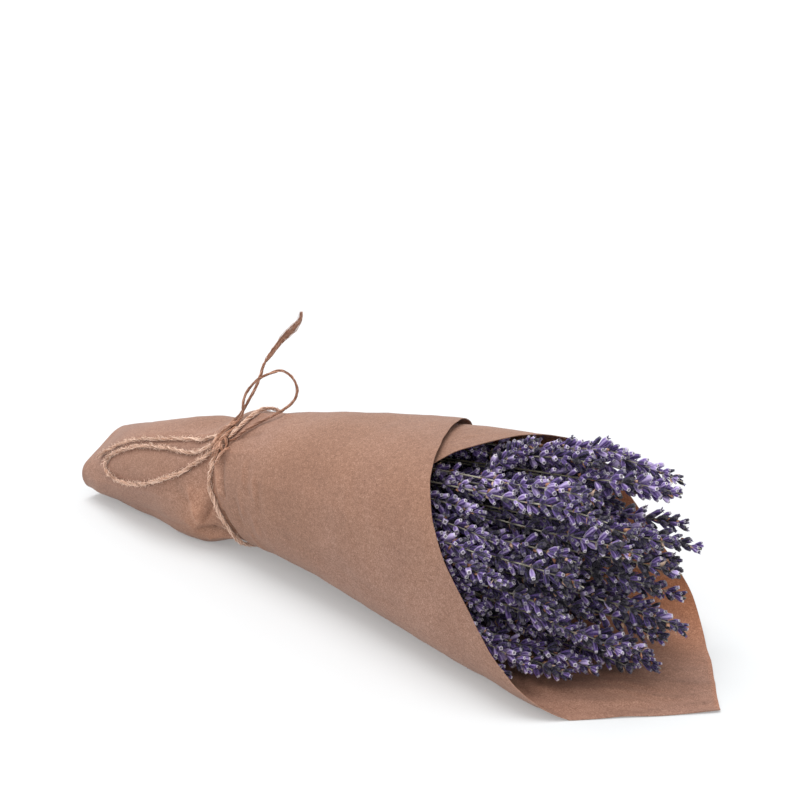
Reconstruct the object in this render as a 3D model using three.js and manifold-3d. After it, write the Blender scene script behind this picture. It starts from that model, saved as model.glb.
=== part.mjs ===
// A bunch of dried lavender, rolled in a cone of kraft paper, tied with a jute bow and laid on its side.
// Millimetres, +Z up. The flowers point along +X, and the paper lies on the table at z = 0.
import * as THREE from "three";
import { mergeVertices } from "three/addons/utils/BufferGeometryUtils.js";
import Module from "manifold-3d";

const wasm = await Module();
wasm.setup();

// Driving dimensions. Lengths along the bunch are counted from a little behind the tail.
const CENTRE_X = 253;
const CENTRE_Y = 1;
const TAIL_X = 26;
const FLAP_X = 480;

// The sheet of paper: its thickness, and the turns of the roll at which its two side edges lie.
// Turn 0 is underneath, and the turns count up towards the front.
const PAPER = 0.8;
const TURN_STEPS = 32;
const INNER_EDGE = -24 / TURN_STEPS;
const OUTER_EDGE = 23 / TURN_STEPS;

// The roll's outline along the bunch: place, half width, half height, height of the middle,
// sideways place of the middle, tilt in degrees, squareness underneath and squareness on top.
const SECTIONS = [
  [TAIL_X, 25, 12, 22, -2, 30, 2.0, 2.0],
  [60, 27, 23, 27, -2, 26, 2.1, 2.1],
  [100, 33, 30, 33, -1, 14, 2.3, 2.2],
  [134, 36, 34, 34, 0, 4, 2.4, 2.2],
  [155, 30, 37, 43, 0, 0, 2.2, 2.2],
  [176, 36, 39, 46, 0, 0, 2.4, 2.2],
  [240, 46, 47, 52, 0, 0, 2.6, 2.3],
  [315, 59, 55, 54, 0, 0, 3.0, 2.5],
  [400, 72, 61, 56, 0, 0, 3.6, 2.7],
  [FLAP_X, 84, 64, 61, 0, 0, 4.0, 2.8],
];

// How far the sheet winds outwards in one turn, along the bunch.
const WINDING = [
  [TAIL_X, 2],
  [200, 2],
  [300, 3],
  [FLAP_X, 4.5],
];

// The sheet's edge round the mouth, as turn and place: two sides that meet at the flap's corner.
const BACK_MOUTH = [
  [INNER_EDGE, 306],
  [-0.6, 320],
  [-0.45, 345],
  [-0.3, 377],
  [-0.15, 430],
  [0, FLAP_X],
];
const FRONT_MOUTH = [
  [0, FLAP_X],
  [0.1, 433],
  [0.2, 388],
  [0.3, 353],
  [0.4, 327],
  [0.5, 309],
  [0.6, 295],
  [OUTER_EDGE, 278],
];

// Places of the sheet's cross rows, up to where the mouth's shorter side ends.
const SHEET_ROWS = [TAIL_X, 50, 80, 110, 134, 146, 155, 165, 180, 205, 238, 270];
const MOUTH_ROWS = 3;

// Stems: the packed bundle inside the roll, the single stems that fan out of it, and the cut ends.
const BUNDLE_ROWS = [50, 80, 110, 134, 146, 155, 165, 180, 205];
const BUNDLE_SIDES = 16;
const BUNDLE_GAP = 0.9;
const STEM_RADIUS = 1.1;
const STEM_ROOT_X = 196;
const CUT_ENDS = 26;
const CUT_END_X = 31;
const CUT_END_STAGGER = 9;
const CUT_END_DEPTH = 4;
const CUT_END_SPREAD = 0.8;
const CUT_END_MARGIN = 4;
const CUT_END_SEED = 11;

// Flower spikes, in sprays of two.
const SPRAYS = 38;
const SPIKE_LENGTH = 52;
const SPIKE_RADIUS = 6;
const VALLEY_SHARE = 0.44;
const RING_SIDES = 8;
const RINGS = 5;
const RING_STEP = 10;
const FIRST_RING = 4;
const CALYX_RISE = 3;
const SPIKE_BOW = 1.5;
const BASE_SPREAD = 4.4;
const TIP_SPREAD = 5.4;
const TIERS = 3;
const TIER_STEP = 34;
const FOOT_RADIUS = 1.6;
const POINT_RADIUS = 1.2;
const SPIKE_FOOT_GAP = 0.8;

// The layout of the sprays: its random seed, the place at which they spread over the mouth, how far
// the foremost tips reach, and how much each spray differs from its neighbours.
const LAYOUT_SEED = 4;
const SPREAD_X = 420;
const FOREMOST_TIP = 452;
const REACH_FALL_Y = 0.013;
const REACH_MIDDLE_Y = 10;
const REACH_PER_Z = 0.25;
const REACH_MIDDLE_Z = 45;
const TIP_JITTER = 8;
const SHORTEST_SPIKE = 0.92;
const SPIKE_VARIATION = 0.16;
const TURN_JITTER = 0.5;
const STRAY_ROOT_SPREAD = 0.9;

// Sprays that stand out of the bunch: middle of the two feet, middle of the two tips,
// and the direction in degrees in which the two lie apart.
const STRAYS = [
  [[378, 36, 101], [434, 38, 95], 115],
  [[398, 24, 65], [450, 30, 63], 80],
  [[408, 4, 33], [458, 6, 29], 95],
  [[331, 6, 88], [365, 6, 118], 180],
  [[356, 27, 99], [404, 27, 106], 20],
  [[352, -45, 15], [400, -50, 10], 60],
  [[376, -30, 12], [424, -26, 10], 10],
];

// Jute twine.
const TWINE = 2.2;
const TWINE_SIDES = 8;
const TWINE_LIFT = TWINE / 2 + 0.6;

const GOLDEN_ANGLE = Math.PI * (3 - Math.sqrt(5));
const DEGREE = Math.PI / 180;

const PAPER_LOOK = { color: 0xa88271, roughness: 0.85, metalness: 0 };
const STEM_LOOK = { color: 0x8f9170, roughness: 0.9, metalness: 0 };
const FLOWER_LOOK = { color: 0x57527d, roughness: 0.95, metalness: 0 };
const TWINE_LOOK = { color: 0xb18d68, roughness: 0.95, metalness: 0 };

const bunch = new THREE.Group();
bunch.position.set(-CENTRE_X, -CENTRE_Y, 0);

// Seeded random numbers from 0 to 1.
function seededRandom(seed) {
  let state = seed;
  return () => {
    state = (state + 0x6d2b79f5) | 0;
    let mixed = Math.imul(state ^ (state >>> 15), 1 | state);
    mixed = (mixed + Math.imul(mixed ^ (mixed >>> 7), 61 | mixed)) ^ mixed;
    return ((mixed ^ (mixed >>> 14)) >>> 0) / 4294967296;
  };
}

// The values of a table of rows at a place between its rows, on a smooth curve through them.
function between(rows, place) {
  let k = 0;
  while (k < rows.length - 2 && place > rows[k + 1][0]) k += 1;
  const from = rows[k];
  const to = rows[k + 1];
  const before = rows[Math.max(k - 1, 0)];
  const after = rows[Math.min(k + 2, rows.length - 1)];
  const span = to[0] - from[0];
  const t = (place - from[0]) / span;
  return from.slice(1).map((value, column) => {
    const i = column + 1;
    const leave = ((to[i] - before[i]) / (to[0] - before[0])) * span;
    const arrive = ((after[i] - from[i]) / (after[0] - from[0])) * span;
    const rise = to[i] - value;
    return value + t * (leave + t * (3 * rise - 2 * leave - arrive + t * (leave + arrive - 2 * rise)));
  });
}

// The roll's outline at a place, as points from underneath towards the front and on round,
// each with its share of the way round. The table cuts it off below.
const OUTLINE_POINTS = 96;
const outlines = new Map();
function outline(x) {
  if (outlines.has(x)) return outlines.get(x);
  const [halfWidth, halfHeight, middleZ, middleY, tilt, low, high] = between(SECTIONS, x);
  const points = [];
  for (let k = 0; k <= OUTLINE_POINTS; k++) {
    const angle = (2 * Math.PI * k) / OUTLINE_POINTS;
    const s = Math.sin(angle);
    const c = Math.cos(angle);
    const power = low + ((high - low) * (1 - c)) / 2;
    const reach = (Math.abs(s) ** power + Math.abs(c) ** power) ** (-1 / power);
    const y = -halfWidth * reach * s;
    const z = -halfHeight * reach * c;
    const lean = tilt * DEGREE;
    points.push({
      y: middleY + y * Math.cos(lean) - z * Math.sin(lean),
      z: Math.max(middleZ + y * Math.sin(lean) + z * Math.cos(lean), PAPER / 2),
    });
  }
  let way = 0;
  points.forEach((point, k) => {
    if (k > 0) way += Math.hypot(point.y - points[k - 1].y, point.z - points[k - 1].z);
    point.way = way;
  });
  points.forEach((point) => (point.way /= way));
  outlines.set(x, points);
  return points;
}

// A point at a turn of the roll and at a height outside the sheet's middle, which lies on the table
// or above it.
function sheetPoint(x, turn, height = 0) {
  const points = outline(x);
  const way = turn - Math.floor(turn);
  let k = 0;
  while (k < OUTLINE_POINTS - 1 && way > points[k + 1].way) k += 1;
  const from = points[k];
  const to = points[k + 1];
  const t = (way - from.way) / (to.way - from.way);
  const before = points[k === 0 ? OUTLINE_POINTS - 1 : k - 1];
  const after = points[k + 2 > OUTLINE_POINTS ? 1 : k + 2];
  const alongY = (1 - t) * (to.y - before.y) + t * (after.y - from.y);
  const alongZ = (1 - t) * (to.z - before.z) + t * (after.z - from.z);
  const length = Math.hypot(alongY, alongZ);
  const [winding] = between(WINDING, x);
  const outY = -alongZ / length;
  const outZ = alongY / length;
  const middleY = from.y + t * (to.y - from.y) + outY * winding * turn;
  const middleZ = from.z + t * (to.z - from.z) + outZ * winding * turn;
  return new THREE.Vector3(x, middleY + outY * height, Math.max(middleZ, PAPER / 2) + outZ * height);
}

// A point outside the whole wrap: the share of the way round from underneath towards the front,
// and the height above the paper's outer face.
function onWrap(x, around, height = TWINE_LIFT) {
  const turn = around < OUTER_EDGE ? around : around - 1;
  return sheetPoint(x, turn, PAPER / 2 + height);
}

// A point of a strand that stands clear of the wrap.
function free(x, y, z) {
  return new THREE.Vector3(x, y, z);
}

// Closed shells and solids

function geometryOf(points, faces) {
  const geometry = new THREE.BufferGeometry();
  const numbers = points.flatMap((point) => [point.x, point.y, point.z]);
  geometry.setAttribute("position", new THREE.Float32BufferAttribute(numbers, 3));
  geometry.setIndex(faces.flat());
  return geometry;
}

// A solid from rings of equally many points, closed at both ends by fans round their first point.
function loft(rings) {
  const sides = rings[0].length;
  const faces = [];
  for (let r = 0; r < rings.length - 1; r++) {
    for (let k = 0; k < sides; k++) {
      const a = r * sides + k;
      const b = r * sides + ((k + 1) % sides);
      faces.push([a, b, b + sides], [a, b + sides, a + sides]);
    }
  }
  const last = (rings.length - 1) * sides;
  for (let k = 1; k < sides - 1; k++) {
    faces.push([0, k + 1, k], [last, last + k, last + k + 1]);
  }
  return geometryOf(rings.flat(), faces);
}

// A thin sheet from two grids of points, its outer and its inner face, joined along all four edges.
function closedSheet(outer, inner) {
  const rows = outer.length;
  const columns = outer[0].length;
  const count = rows * columns;
  const at = (i, j) => i * columns + j;
  const faces = [];
  for (let i = 0; i < rows - 1; i++) {
    for (let j = 0; j < columns - 1; j++) {
      const [a, b, c, d] = [at(i, j), at(i + 1, j), at(i + 1, j + 1), at(i, j + 1)];
      faces.push([a, b, c], [a, c, d]);
      faces.push([count + a, count + c, count + b], [count + a, count + d, count + c]);
    }
  }
  const edge = (a, b) => faces.push([a, count + b, b], [a, count + a, count + b]);
  for (let i = 0; i < rows - 1; i++) {
    edge(at(i, 0), at(i + 1, 0));
    edge(at(i + 1, columns - 1), at(i, columns - 1));
  }
  for (let j = 0; j < columns - 1; j++) {
    edge(at(0, j + 1), at(0, j));
    edge(at(rows - 1, j), at(rows - 1, j + 1));
  }
  return geometryOf([...outer.flat(), ...inner.flat()], faces);
}

function solidOf(geometry) {
  const bare = geometry.clone();
  bare.deleteAttribute("normal");
  bare.deleteAttribute("uv");
  const merged = mergeVertices(bare, 1e-4);
  return new wasm.Manifold(
    new wasm.Mesh({
      numProp: 3,
      vertProperties: new Float32Array(merged.attributes.position.array),
      triVerts: new Uint32Array(merged.index.array),
    }),
  );
}

function fused(geometries) {
  const solid = geometries.map(solidOf).reduce((sum, next) => sum.add(next));
  const mesh = solid.getMesh();
  const geometry = new THREE.BufferGeometry();
  geometry.setAttribute("position", new THREE.BufferAttribute(new Float32Array(mesh.vertProperties), 3));
  geometry.setIndex(new THREE.BufferAttribute(new Uint32Array(mesh.triVerts), 1));
  return geometry;
}

function addPiece(name, geometry, look) {
  const shaped = geometry.index ? geometry.toNonIndexed() : geometry;
  shaped.computeVertexNormals();
  const piece = new THREE.Mesh(shaped, new THREE.MeshStandardMaterial(look));
  piece.name = name;
  bunch.add(piece);
}

// Kraft paper, one sheet rolled corner to corner

function mouthAt(turn) {
  return between(turn < 0 ? BACK_MOUTH : FRONT_MOUTH, turn)[0];
}

function paperWrap() {
  const outer = [];
  const inner = [];
  const lastRow = SHEET_ROWS[SHEET_ROWS.length - 1];
  const rows = SHEET_ROWS.length + MOUTH_ROWS;
  for (let i = 0; i < rows; i++) {
    outer.push([]);
    inner.push([]);
    for (let j = INNER_EDGE * TURN_STEPS; j <= OUTER_EDGE * TURN_STEPS; j++) {
      const turn = j / TURN_STEPS;
      const share = (i - SHEET_ROWS.length + 1) / MOUTH_ROWS;
      const x = share <= 0 ? SHEET_ROWS[i] : lastRow + (mouthAt(turn) - lastRow) * share;
      outer[i].push(sheetPoint(x, turn, PAPER / 2));
      inner[i].push(sheetPoint(x, turn, -PAPER / 2));
    }
  }
  for (const [face, floor] of [[outer, 0], [inner, PAPER]]) {
    face.flat().forEach((point) => (point.z = Math.max(point.z, floor)));
  }
  return closedSheet(outer, inner);
}

// Where the spikes lie

// The space for spikes and stems at a place: the middle and the half sizes that a spike's axis keeps to.
const ROOM_MARGIN = 9.8;
const LOWEST_AXIS = 8.2;
function roomAt(x) {
  const [halfWidth, halfHeight, middleZ, middleY, , low, high] = between(SECTIONS, x);
  return {
    y: middleY,
    z: middleZ,
    wide: halfWidth - ROOM_MARGIN,
    high: halfHeight - ROOM_MARGIN,
    low,
    top: high,
  };
}

// How much further than a round room the squarish one reaches in a direction.
function cornerReach(room, across, up) {
  const length = Math.hypot(across, up) || 1;
  const s = Math.abs(across) / length;
  const c = Math.abs(up) / length;
  const power = room.low + ((room.top - room.low) * (1 + up / length)) / 2;
  return (s ** power + c ** power) ** (-1 / power);
}

function keepInRoom(point) {
  const room = roomAt(point.x);
  const across = (point.y - room.y) / room.wide;
  const up = (point.z - room.z) / room.high;
  const over = Math.hypot(across, up) / cornerReach(room, across, up);
  if (over > 1) {
    point.y = room.y + (point.y - room.y) / over;
    point.z = room.z + (point.z - room.z) / over;
  }
  aboveTable(point);
}

function aboveTable(point) {
  point.z = Math.max(point.z, LOWEST_AXIS);
  return point;
}

function inRoom(x, across, up) {
  const room = roomAt(x);
  const corner = cornerReach(room, across, up);
  const point = new THREE.Vector3(x, room.y + corner * across * room.wide, room.z + corner * up * room.high);
  keepInRoom(point);
  return point;
}

// How far the tips of the foremost tier reach: furthest in the middle of the bunch, and less
// towards its sides, high up and low down.
function tipReach(y, z) {
  const fall = REACH_FALL_Y * (y - REACH_MIDDLE_Y) ** 2;
  return FOREMOST_TIP - fall - REACH_PER_Z * Math.abs(z - REACH_MIDDLE_Z);
}

// Sprays spread evenly over the mouth like seeds in a sunflower, in tiers one behind another.
function evenSprays(random) {
  const sprays = [];
  for (let i = 0; i < SPRAYS; i++) {
    const spread = Math.sqrt((i + 0.5) / SPRAYS);
    const angle = i * GOLDEN_ANGLE;
    const across = spread * Math.cos(angle);
    const up = spread * Math.sin(angle);
    const middle = inRoom(SPREAD_X, across, up);
    const tierBack = (i % TIERS) * TIER_STEP;
    const tipX = tipReach(middle.y, middle.z) - tierBack + TIP_JITTER * (random() - 0.5);
    const length = SPIKE_LENGTH * (SHORTEST_SPIKE + SPIKE_VARIATION * random());
    const apart = angle + Math.PI / 2 + TURN_JITTER * (random() - 0.5);
    sprays.push({
      root: inRoom(STEM_ROOT_X, across, up),
      base: inRoom(tipX - length, across, up),
      tip: inRoom(tipX, across, up),
      side: new THREE.Vector3(0, Math.cos(apart), Math.sin(apart)),
      held: false,
    });
  }
  return sprays;
}

function straySprays() {
  return STRAYS.map(([base, tip, apart]) => {
    const room = roomAt(STEM_ROOT_X);
    const mouth = roomAt(base[0]);
    const across = (STRAY_ROOT_SPREAD * (base[1] - mouth.y)) / mouth.wide;
    const up = (STRAY_ROOT_SPREAD * (base[2] - mouth.z)) / mouth.high;
    return {
      root: new THREE.Vector3(STEM_ROOT_X, room.y + across * room.wide, room.z + up * room.high),
      base: new THREE.Vector3(...base),
      tip: new THREE.Vector3(...tip),
      side: new THREE.Vector3(0, Math.cos(apart * DEGREE), Math.sin(apart * DEGREE)),
      held: true,
    };
  });
}

// The line of one of a spray's two spikes: root and foot of its stem, and tip. The second spike
// lies one ring further back.
function strand(spray, hand) {
  const way = spray.tip.clone().sub(spray.base).normalize();
  const side = spray.side.clone().addScaledVector(way, -spray.side.dot(way)).normalize();
  const back = hand < 0 ? -RING_STEP : 0;
  const placed = (end, spread) => {
    const point = end.clone().addScaledVector(side, hand * spread).addScaledVector(way, back);
    return aboveTable(point);
  };
  return {
    root: spray.root.clone().addScaledVector(spray.side, hand * STEM_RADIUS),
    base: placed(spray.base, BASE_SPREAD),
    tip: placed(spray.tip, TIP_SPREAD),
  };
}

// Half the width of a spike along its length, from foot to tip.
const SPIKE_SHAPE = [
  [0, 0.42],
  [0.15, 0.85],
  [0.35, 1],
  [0.7, 0.9],
  [1, 0.45],
];
function spikeRadius(t) {
  return SPIKE_RADIUS * between(SPIKE_SHAPE, t)[0];
}

function spikeAxis(line, t) {
  const point = line.base.clone().lerp(line.tip, t);
  point.z += 4 * t * (1 - t) * SPIKE_BOW;
  return point;
}

// Balls along a spray's stems and spikes, each with its pull on the spray's foot and tip.
const STEM_BALLS = 22;
const FIRST_STEM_BALL = 8;
const SPIKE_BALLS = 8;
function ballsOf(spray) {
  const balls = [];
  for (const hand of [-1, 1]) {
    const line = strand(spray, hand);
    for (let k = FIRST_STEM_BALL; k < STEM_BALLS; k++) {
      const t = k / STEM_BALLS;
      const centre = line.root.clone().lerp(line.base, t);
      balls.push({ centre, radius: STEM_RADIUS, foot: t, tip: 0, stem: true });
    }
    for (let k = 0; k <= SPIKE_BALLS; k++) {
      const t = k / SPIKE_BALLS;
      balls.push({ centre: spikeAxis(line, t), radius: spikeRadius(t), foot: 1 - t, tip: t, stem: false });
    }
  }
  return balls;
}

// Pushes two sprays apart where they come nearest, and says whether they were too near.
const CLEARANCE = 0.6;
const NEAR_ENOUGH = 0.05;
function part(one, other) {
  const others = ballsOf(other);
  let worst = NEAR_ENOUGH;
  let meeting = null;
  for (const a of ballsOf(one)) {
    for (const b of others) {
      if (a.stem && b.stem) continue;
      const reach = a.radius + b.radius + CLEARANCE;
      if (Math.abs(a.centre.x - b.centre.x) > reach) continue;
      const deep = reach - a.centre.distanceTo(b.centre);
      if (deep > worst) {
        worst = deep;
        meeting = [a, b];
      }
    }
  }
  if (!meeting) return false;
  const [a, b] = meeting;
  const way = a.centre.clone().sub(b.centre).normalize();
  const share = one.held === other.held ? 0.5 : 1;
  for (const [spray, partner, ball, sign] of [[one, other, a, 1], [other, one, b, -1]]) {
    if (spray.held && !partner.held) continue;
    const push = sign * share * worst;
    for (const [end, pull] of [[spray.base, ball.foot], [spray.tip, ball.tip]]) {
      end.x += push * way.x;
      end.y += push * way.y * pull;
      end.z += push * way.z * pull;
      if (!spray.held) keepInRoom(end);
    }
  }
  return true;
}

const SETTLE_ROUNDS = 110;
function settledSprays() {
  const random = seededRandom(LAYOUT_SEED);
  const sprays = [...evenSprays(random), ...straySprays()];
  for (let round = 0; round < SETTLE_ROUNDS; round++) {
    let touching = false;
    for (let i = 0; i < sprays.length; i++) {
      for (let j = i + 1; j < sprays.length; j++) {
        if (part(sprays[i], sprays[j])) touching = true;
      }
    }
    if (!touching) break;
  }
  return sprays;
}

// Stems

// Three corners round a point of a stem, square to the way it runs.
function stemRing(point, way) {
  const side = new THREE.Vector3(0, 0, 1).cross(way).normalize();
  const rise = way.clone().cross(side);
  return [0, 1, 2].map((k) => {
    const angle = (2 * Math.PI * k) / 3;
    return point
      .clone()
      .addScaledVector(side, STEM_RADIUS * Math.cos(angle))
      .addScaledVector(rise, STEM_RADIUS * Math.sin(angle));
  });
}

function straightStem(from, to) {
  const way = to.clone().sub(from).normalize();
  return loft([stemRing(from, way), stemRing(to, way)]);
}

// The packed stems follow the inside of the roll.
function stemBundle() {
  return loft(
    BUNDLE_ROWS.map((x) => {
      const ring = [];
      for (let k = 0; k < BUNDLE_SIDES; k++) {
        const point = sheetPoint(x, INNER_EDGE + k / BUNDLE_SIDES, -PAPER / 2 - BUNDLE_GAP);
        point.z = Math.max(point.z, PAPER + BUNDLE_GAP);
        ring.push(point);
      }
      return ring.reverse();
    }),
  );
}

function cutEnds(random) {
  const ends = [];
  for (let i = 0; i < CUT_ENDS; i++) {
    const spread = CUT_END_SPREAD * Math.sqrt((i + 0.5) / CUT_ENDS);
    const angle = i * GOLDEN_ANGLE;
    const inBundle = (x) => {
      const [halfWidth, halfHeight, middleZ, middleY, tilt] = between(SECTIONS, x);
      const y = spread * Math.cos(angle) * (halfWidth - CUT_END_MARGIN);
      const z = spread * Math.sin(angle) * (halfHeight - CUT_END_MARGIN);
      const lean = tilt * DEGREE;
      return new THREE.Vector3(
        x,
        middleY + y * Math.cos(lean) - z * Math.sin(lean),
        middleZ + y * Math.sin(lean) + z * Math.cos(lean),
      );
    };
    const from = inBundle(CUT_END_X + CUT_END_STAGGER * random());
    ends.push(straightStem(from, inBundle(BUNDLE_ROWS[0] + CUT_END_DEPTH)));
  }
  return ends;
}

function stems(sprays) {
  const pieces = [stemBundle(), ...cutEnds(seededRandom(CUT_END_SEED))];
  for (const spray of sprays) {
    for (const hand of [-1, 1]) {
      const line = strand(spray, hand);
      const way = spikeAxis(line, 0.1).sub(line.base).normalize();
      pieces.push(straightStem(line.root, line.base.clone().addScaledVector(way, -SPIKE_FOOT_GAP)));
    }
  }
  return fused(pieces);
}

// Flower spikes: rings of calyx tips and the valleys between them, each ring turned by one step,
// from a narrow foot to a point. The spray's two spikes touch where their tips face each other.
function spike(line, towards, firstTip) {
  const way = line.tip.clone().sub(line.base).normalize();
  const side = towards.clone().addScaledVector(way, -towards.dot(way)).normalize();
  const rise = way.clone().cross(side);
  const length = line.tip.distanceTo(line.base);
  const ring = (t, radiusOf, alongOf) => {
    const points = [];
    for (let k = 0; k < RING_SIDES; k++) {
      const angle = (2 * Math.PI * k) / RING_SIDES;
      points.push(
        spikeAxis(line, t)
          .addScaledVector(way, alongOf(k))
          .addScaledVector(side, radiusOf(k) * Math.cos(angle))
          .addScaledVector(rise, radiusOf(k) * Math.sin(angle)),
      );
    }
    return points;
  };
  const rings = [ring(0, () => FOOT_RADIUS, () => 0)];
  for (let r = 0; r < RINGS; r++) {
    const t = (FIRST_RING + r * RING_STEP) / length;
    const isTip = (k) => (r + k + firstTip) % 2 === 0;
    rings.push(ring(t, (k) => spikeRadius(t) * (isTip(k) ? 1 : VALLEY_SHARE), (k) => (isTip(k) ? CALYX_RISE : 0)));
  }
  rings.push(ring(1, () => POINT_RADIUS, () => 0));
  return loft(rings);
}

function spray(placed) {
  const front = spike(strand(placed, 1), placed.side.clone().negate(), 0);
  const back = spike(strand(placed, -1), placed.side.clone(), 1);
  return fused([front, back]);
}

// Twine

function twine(points, steps) {
  const circle = new THREE.Shape();
  for (let k = 0; k < TWINE_SIDES; k++) {
    const angle = (2 * Math.PI * k) / TWINE_SIDES;
    const move = k === 0 ? "moveTo" : "lineTo";
    circle[move]((TWINE / 2) * Math.cos(angle), (TWINE / 2) * Math.sin(angle));
  }
  const path = new THREE.CatmullRomCurve3(points);
  return new THREE.ExtrudeGeometry(circle, { steps, extrudePath: path });
}

// The band goes from the knot down the front, under the wrap, up the back and over the top to the knot.
const BAND = [
  onWrap(157.4, 0.36),
  onWrap(156, 0.335),
  onWrap(155, 0.3),
  onWrap(155, 0.26, TWINE_LIFT + 0.2),
  onWrap(158, 0.22, TWINE_LIFT + 0.3),
  onWrap(163, 0.18, TWINE_LIFT + 0.3),
  onWrap(169, 0.14, TWINE_LIFT + 0.4),
  onWrap(172, 0.1, TWINE_LIFT + 0.3),
  onWrap(173, 0.04),
  onWrap(172, 0.98),
  onWrap(170, 0.92),
  onWrap(167, 0.86),
  onWrap(164, 0.8, TWINE_LIFT + 0.8),
  onWrap(163, 0.74, TWINE_LIFT + 2.2),
  onWrap(163, 0.68, TWINE_LIFT + 0.3),
  onWrap(164, 0.62),
  onWrap(165, 0.56),
  onWrap(166, 0.5),
  onWrap(166, 0.46),
  onWrap(165, 0.422),
  onWrap(162.2, 0.395),
];
const BAND_STEPS = 28;

// The bow's long loop lies on the paper towards the tail.
const LONG_LOOP = [
  onWrap(154.3, 0.38),
  onWrap(150, 0.382),
  onWrap(143, 0.378),
  onWrap(134, 0.385),
  onWrap(124, 0.395),
  onWrap(113, 0.403),
  onWrap(102, 0.408),
  onWrap(90, 0.416),
  onWrap(78, 0.42),
  onWrap(67, 0.415),
  onWrap(59, 0.402),
  onWrap(55, 0.38),
  onWrap(57, 0.355),
  onWrap(64, 0.33),
  onWrap(76, 0.308),
  onWrap(93, 0.296),
  onWrap(107, 0.303),
  onWrap(120, 0.318),
  onWrap(132, 0.333),
  onWrap(141, 0.345),
  onWrap(149, 0.356),
  onWrap(154.4, 0.369),
];
const LONG_LOOP_STEPS = 22;

// One loose end lies beside it and is frayed at the tail.
const LOW_END = [
  onWrap(155.5, 0.39),
  onWrap(151, 0.408),
  onWrap(144, 0.417),
  onWrap(136, 0.424),
  onWrap(127, 0.432),
  onWrap(118, 0.434),
  onWrap(108, 0.434),
  onWrap(98, 0.437),
  onWrap(87, 0.445),
  onWrap(76, 0.45),
  onWrap(65, 0.446),
  onWrap(55, 0.434),
  onWrap(47, 0.42),
  onWrap(42, 0.4),
];
const LOW_END_STEPS = 13;

// The upright loop leaves the knot along the wrap, stands over its top and comes back to the knot.
const UPRIGHT_LOOP = [
  onWrap(159.7, 0.406, TWINE_LIFT + 0.4),
  onWrap(159.2, 0.427),
  onWrap(159, 0.447),
  onWrap(159, 0.468, TWINE_LIFT + 1),
  free(160, -5, 93),
  free(161, -3, 98),
  free(163, -1, 103),
  free(165, 2, 107),
  free(170, 6, 110),
  free(175, 10, 112),
  free(180, 12, 110),
  free(184, 12, 107),
  free(187, 11, 102),
  free(188, 7, 97),
  free(187, 1, 93.5),
  onWrap(184, 0.476, TWINE_LIFT + 1),
  onWrap(178, 0.444),
  onWrap(172, 0.416),
  onWrap(168, 0.398),
  onWrap(164.6, 0.387),
];
const UPRIGHT_LOOP_STEPS = 22;

// The other loose end stands up behind that loop.
const UPRIGHT_END = [
  onWrap(156.5, 0.403, TWINE_LIFT + 0.7),
  onWrap(154.5, 0.43),
  onWrap(155, 0.452),
  onWrap(156, 0.475, TWINE_LIFT + 1),
  free(157, 0, 93),
  free(159, 4, 100),
  free(160, 8, 106),
  free(160, 12, 113),
  free(161, 17, 118),
  free(163, 21, 123),
  free(164, 26, 127),
  free(167, 31, 132),
  free(168, 35, 136),
  free(167, 38, 141),
];
const UPRIGHT_END_STEPS = 15;

// The knot lies on the wrap between the ends of the band.
const KNOT_X = 159;
const KNOT_AROUND = 0.378;
const KNOT_LIFT = 3.2;
const KNOT_RADIUS = 3;
const KNOT_TUBE = 0.95;
const KNOT_STRETCH = 1.3;
const KNOT_STEPS = 24;
const KNOT_SIDES = 5;
function knot() {
  const centre = onWrap(KNOT_X, KNOT_AROUND, KNOT_LIFT);
  const out = onWrap(KNOT_X, KNOT_AROUND, KNOT_LIFT + 1).sub(centre).normalize();
  const along = onWrap(KNOT_X, KNOT_AROUND + 0.01, KNOT_LIFT).sub(centre).normalize();
  const across = along.clone().cross(out);
  const geometry = new THREE.TorusKnotGeometry(KNOT_RADIUS, KNOT_TUBE, KNOT_STEPS, KNOT_SIDES);
  geometry.scale(1, KNOT_STRETCH, 1);
  geometry.applyMatrix4(new THREE.Matrix4().makeBasis(across, along, out).setPosition(centre));
  return geometry;
}

// The bunch, put together

addPiece("paper_wrap", paperWrap(), PAPER_LOOK);
const sprays = settledSprays();
addPiece("stems", stems(sprays), STEM_LOOK);
sprays.forEach((placed, i) => {
  addPiece("flower_spray_" + String(i + 1).padStart(2, "0"), spray(placed), FLOWER_LOOK);
});
addPiece("twine_band", twine(BAND, BAND_STEPS), TWINE_LOOK);
addPiece("twine_knot", knot(), TWINE_LOOK);
addPiece("twine_long_loop", twine(LONG_LOOP, LONG_LOOP_STEPS), TWINE_LOOK);
addPiece("twine_low_end", twine(LOW_END, LOW_END_STEPS), TWINE_LOOK);
addPiece("twine_upright_loop", twine(UPRIGHT_LOOP, UPRIGHT_LOOP_STEPS), TWINE_LOOK);
addPiece("twine_upright_end", twine(UPRIGHT_END, UPRIGHT_END_STEPS), TWINE_LOOK);

export default bunch;
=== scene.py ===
"""A bunch of dried lavender in a cone of kraft paper, tied with a jute bow and laid on its side.

The shapes are worked out in millimetres, with x counted from a little behind the tail, and then
moved to the frame in metres.
"""

import math

import bpy
import numpy as np
from mathutils import Matrix, Vector


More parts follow.
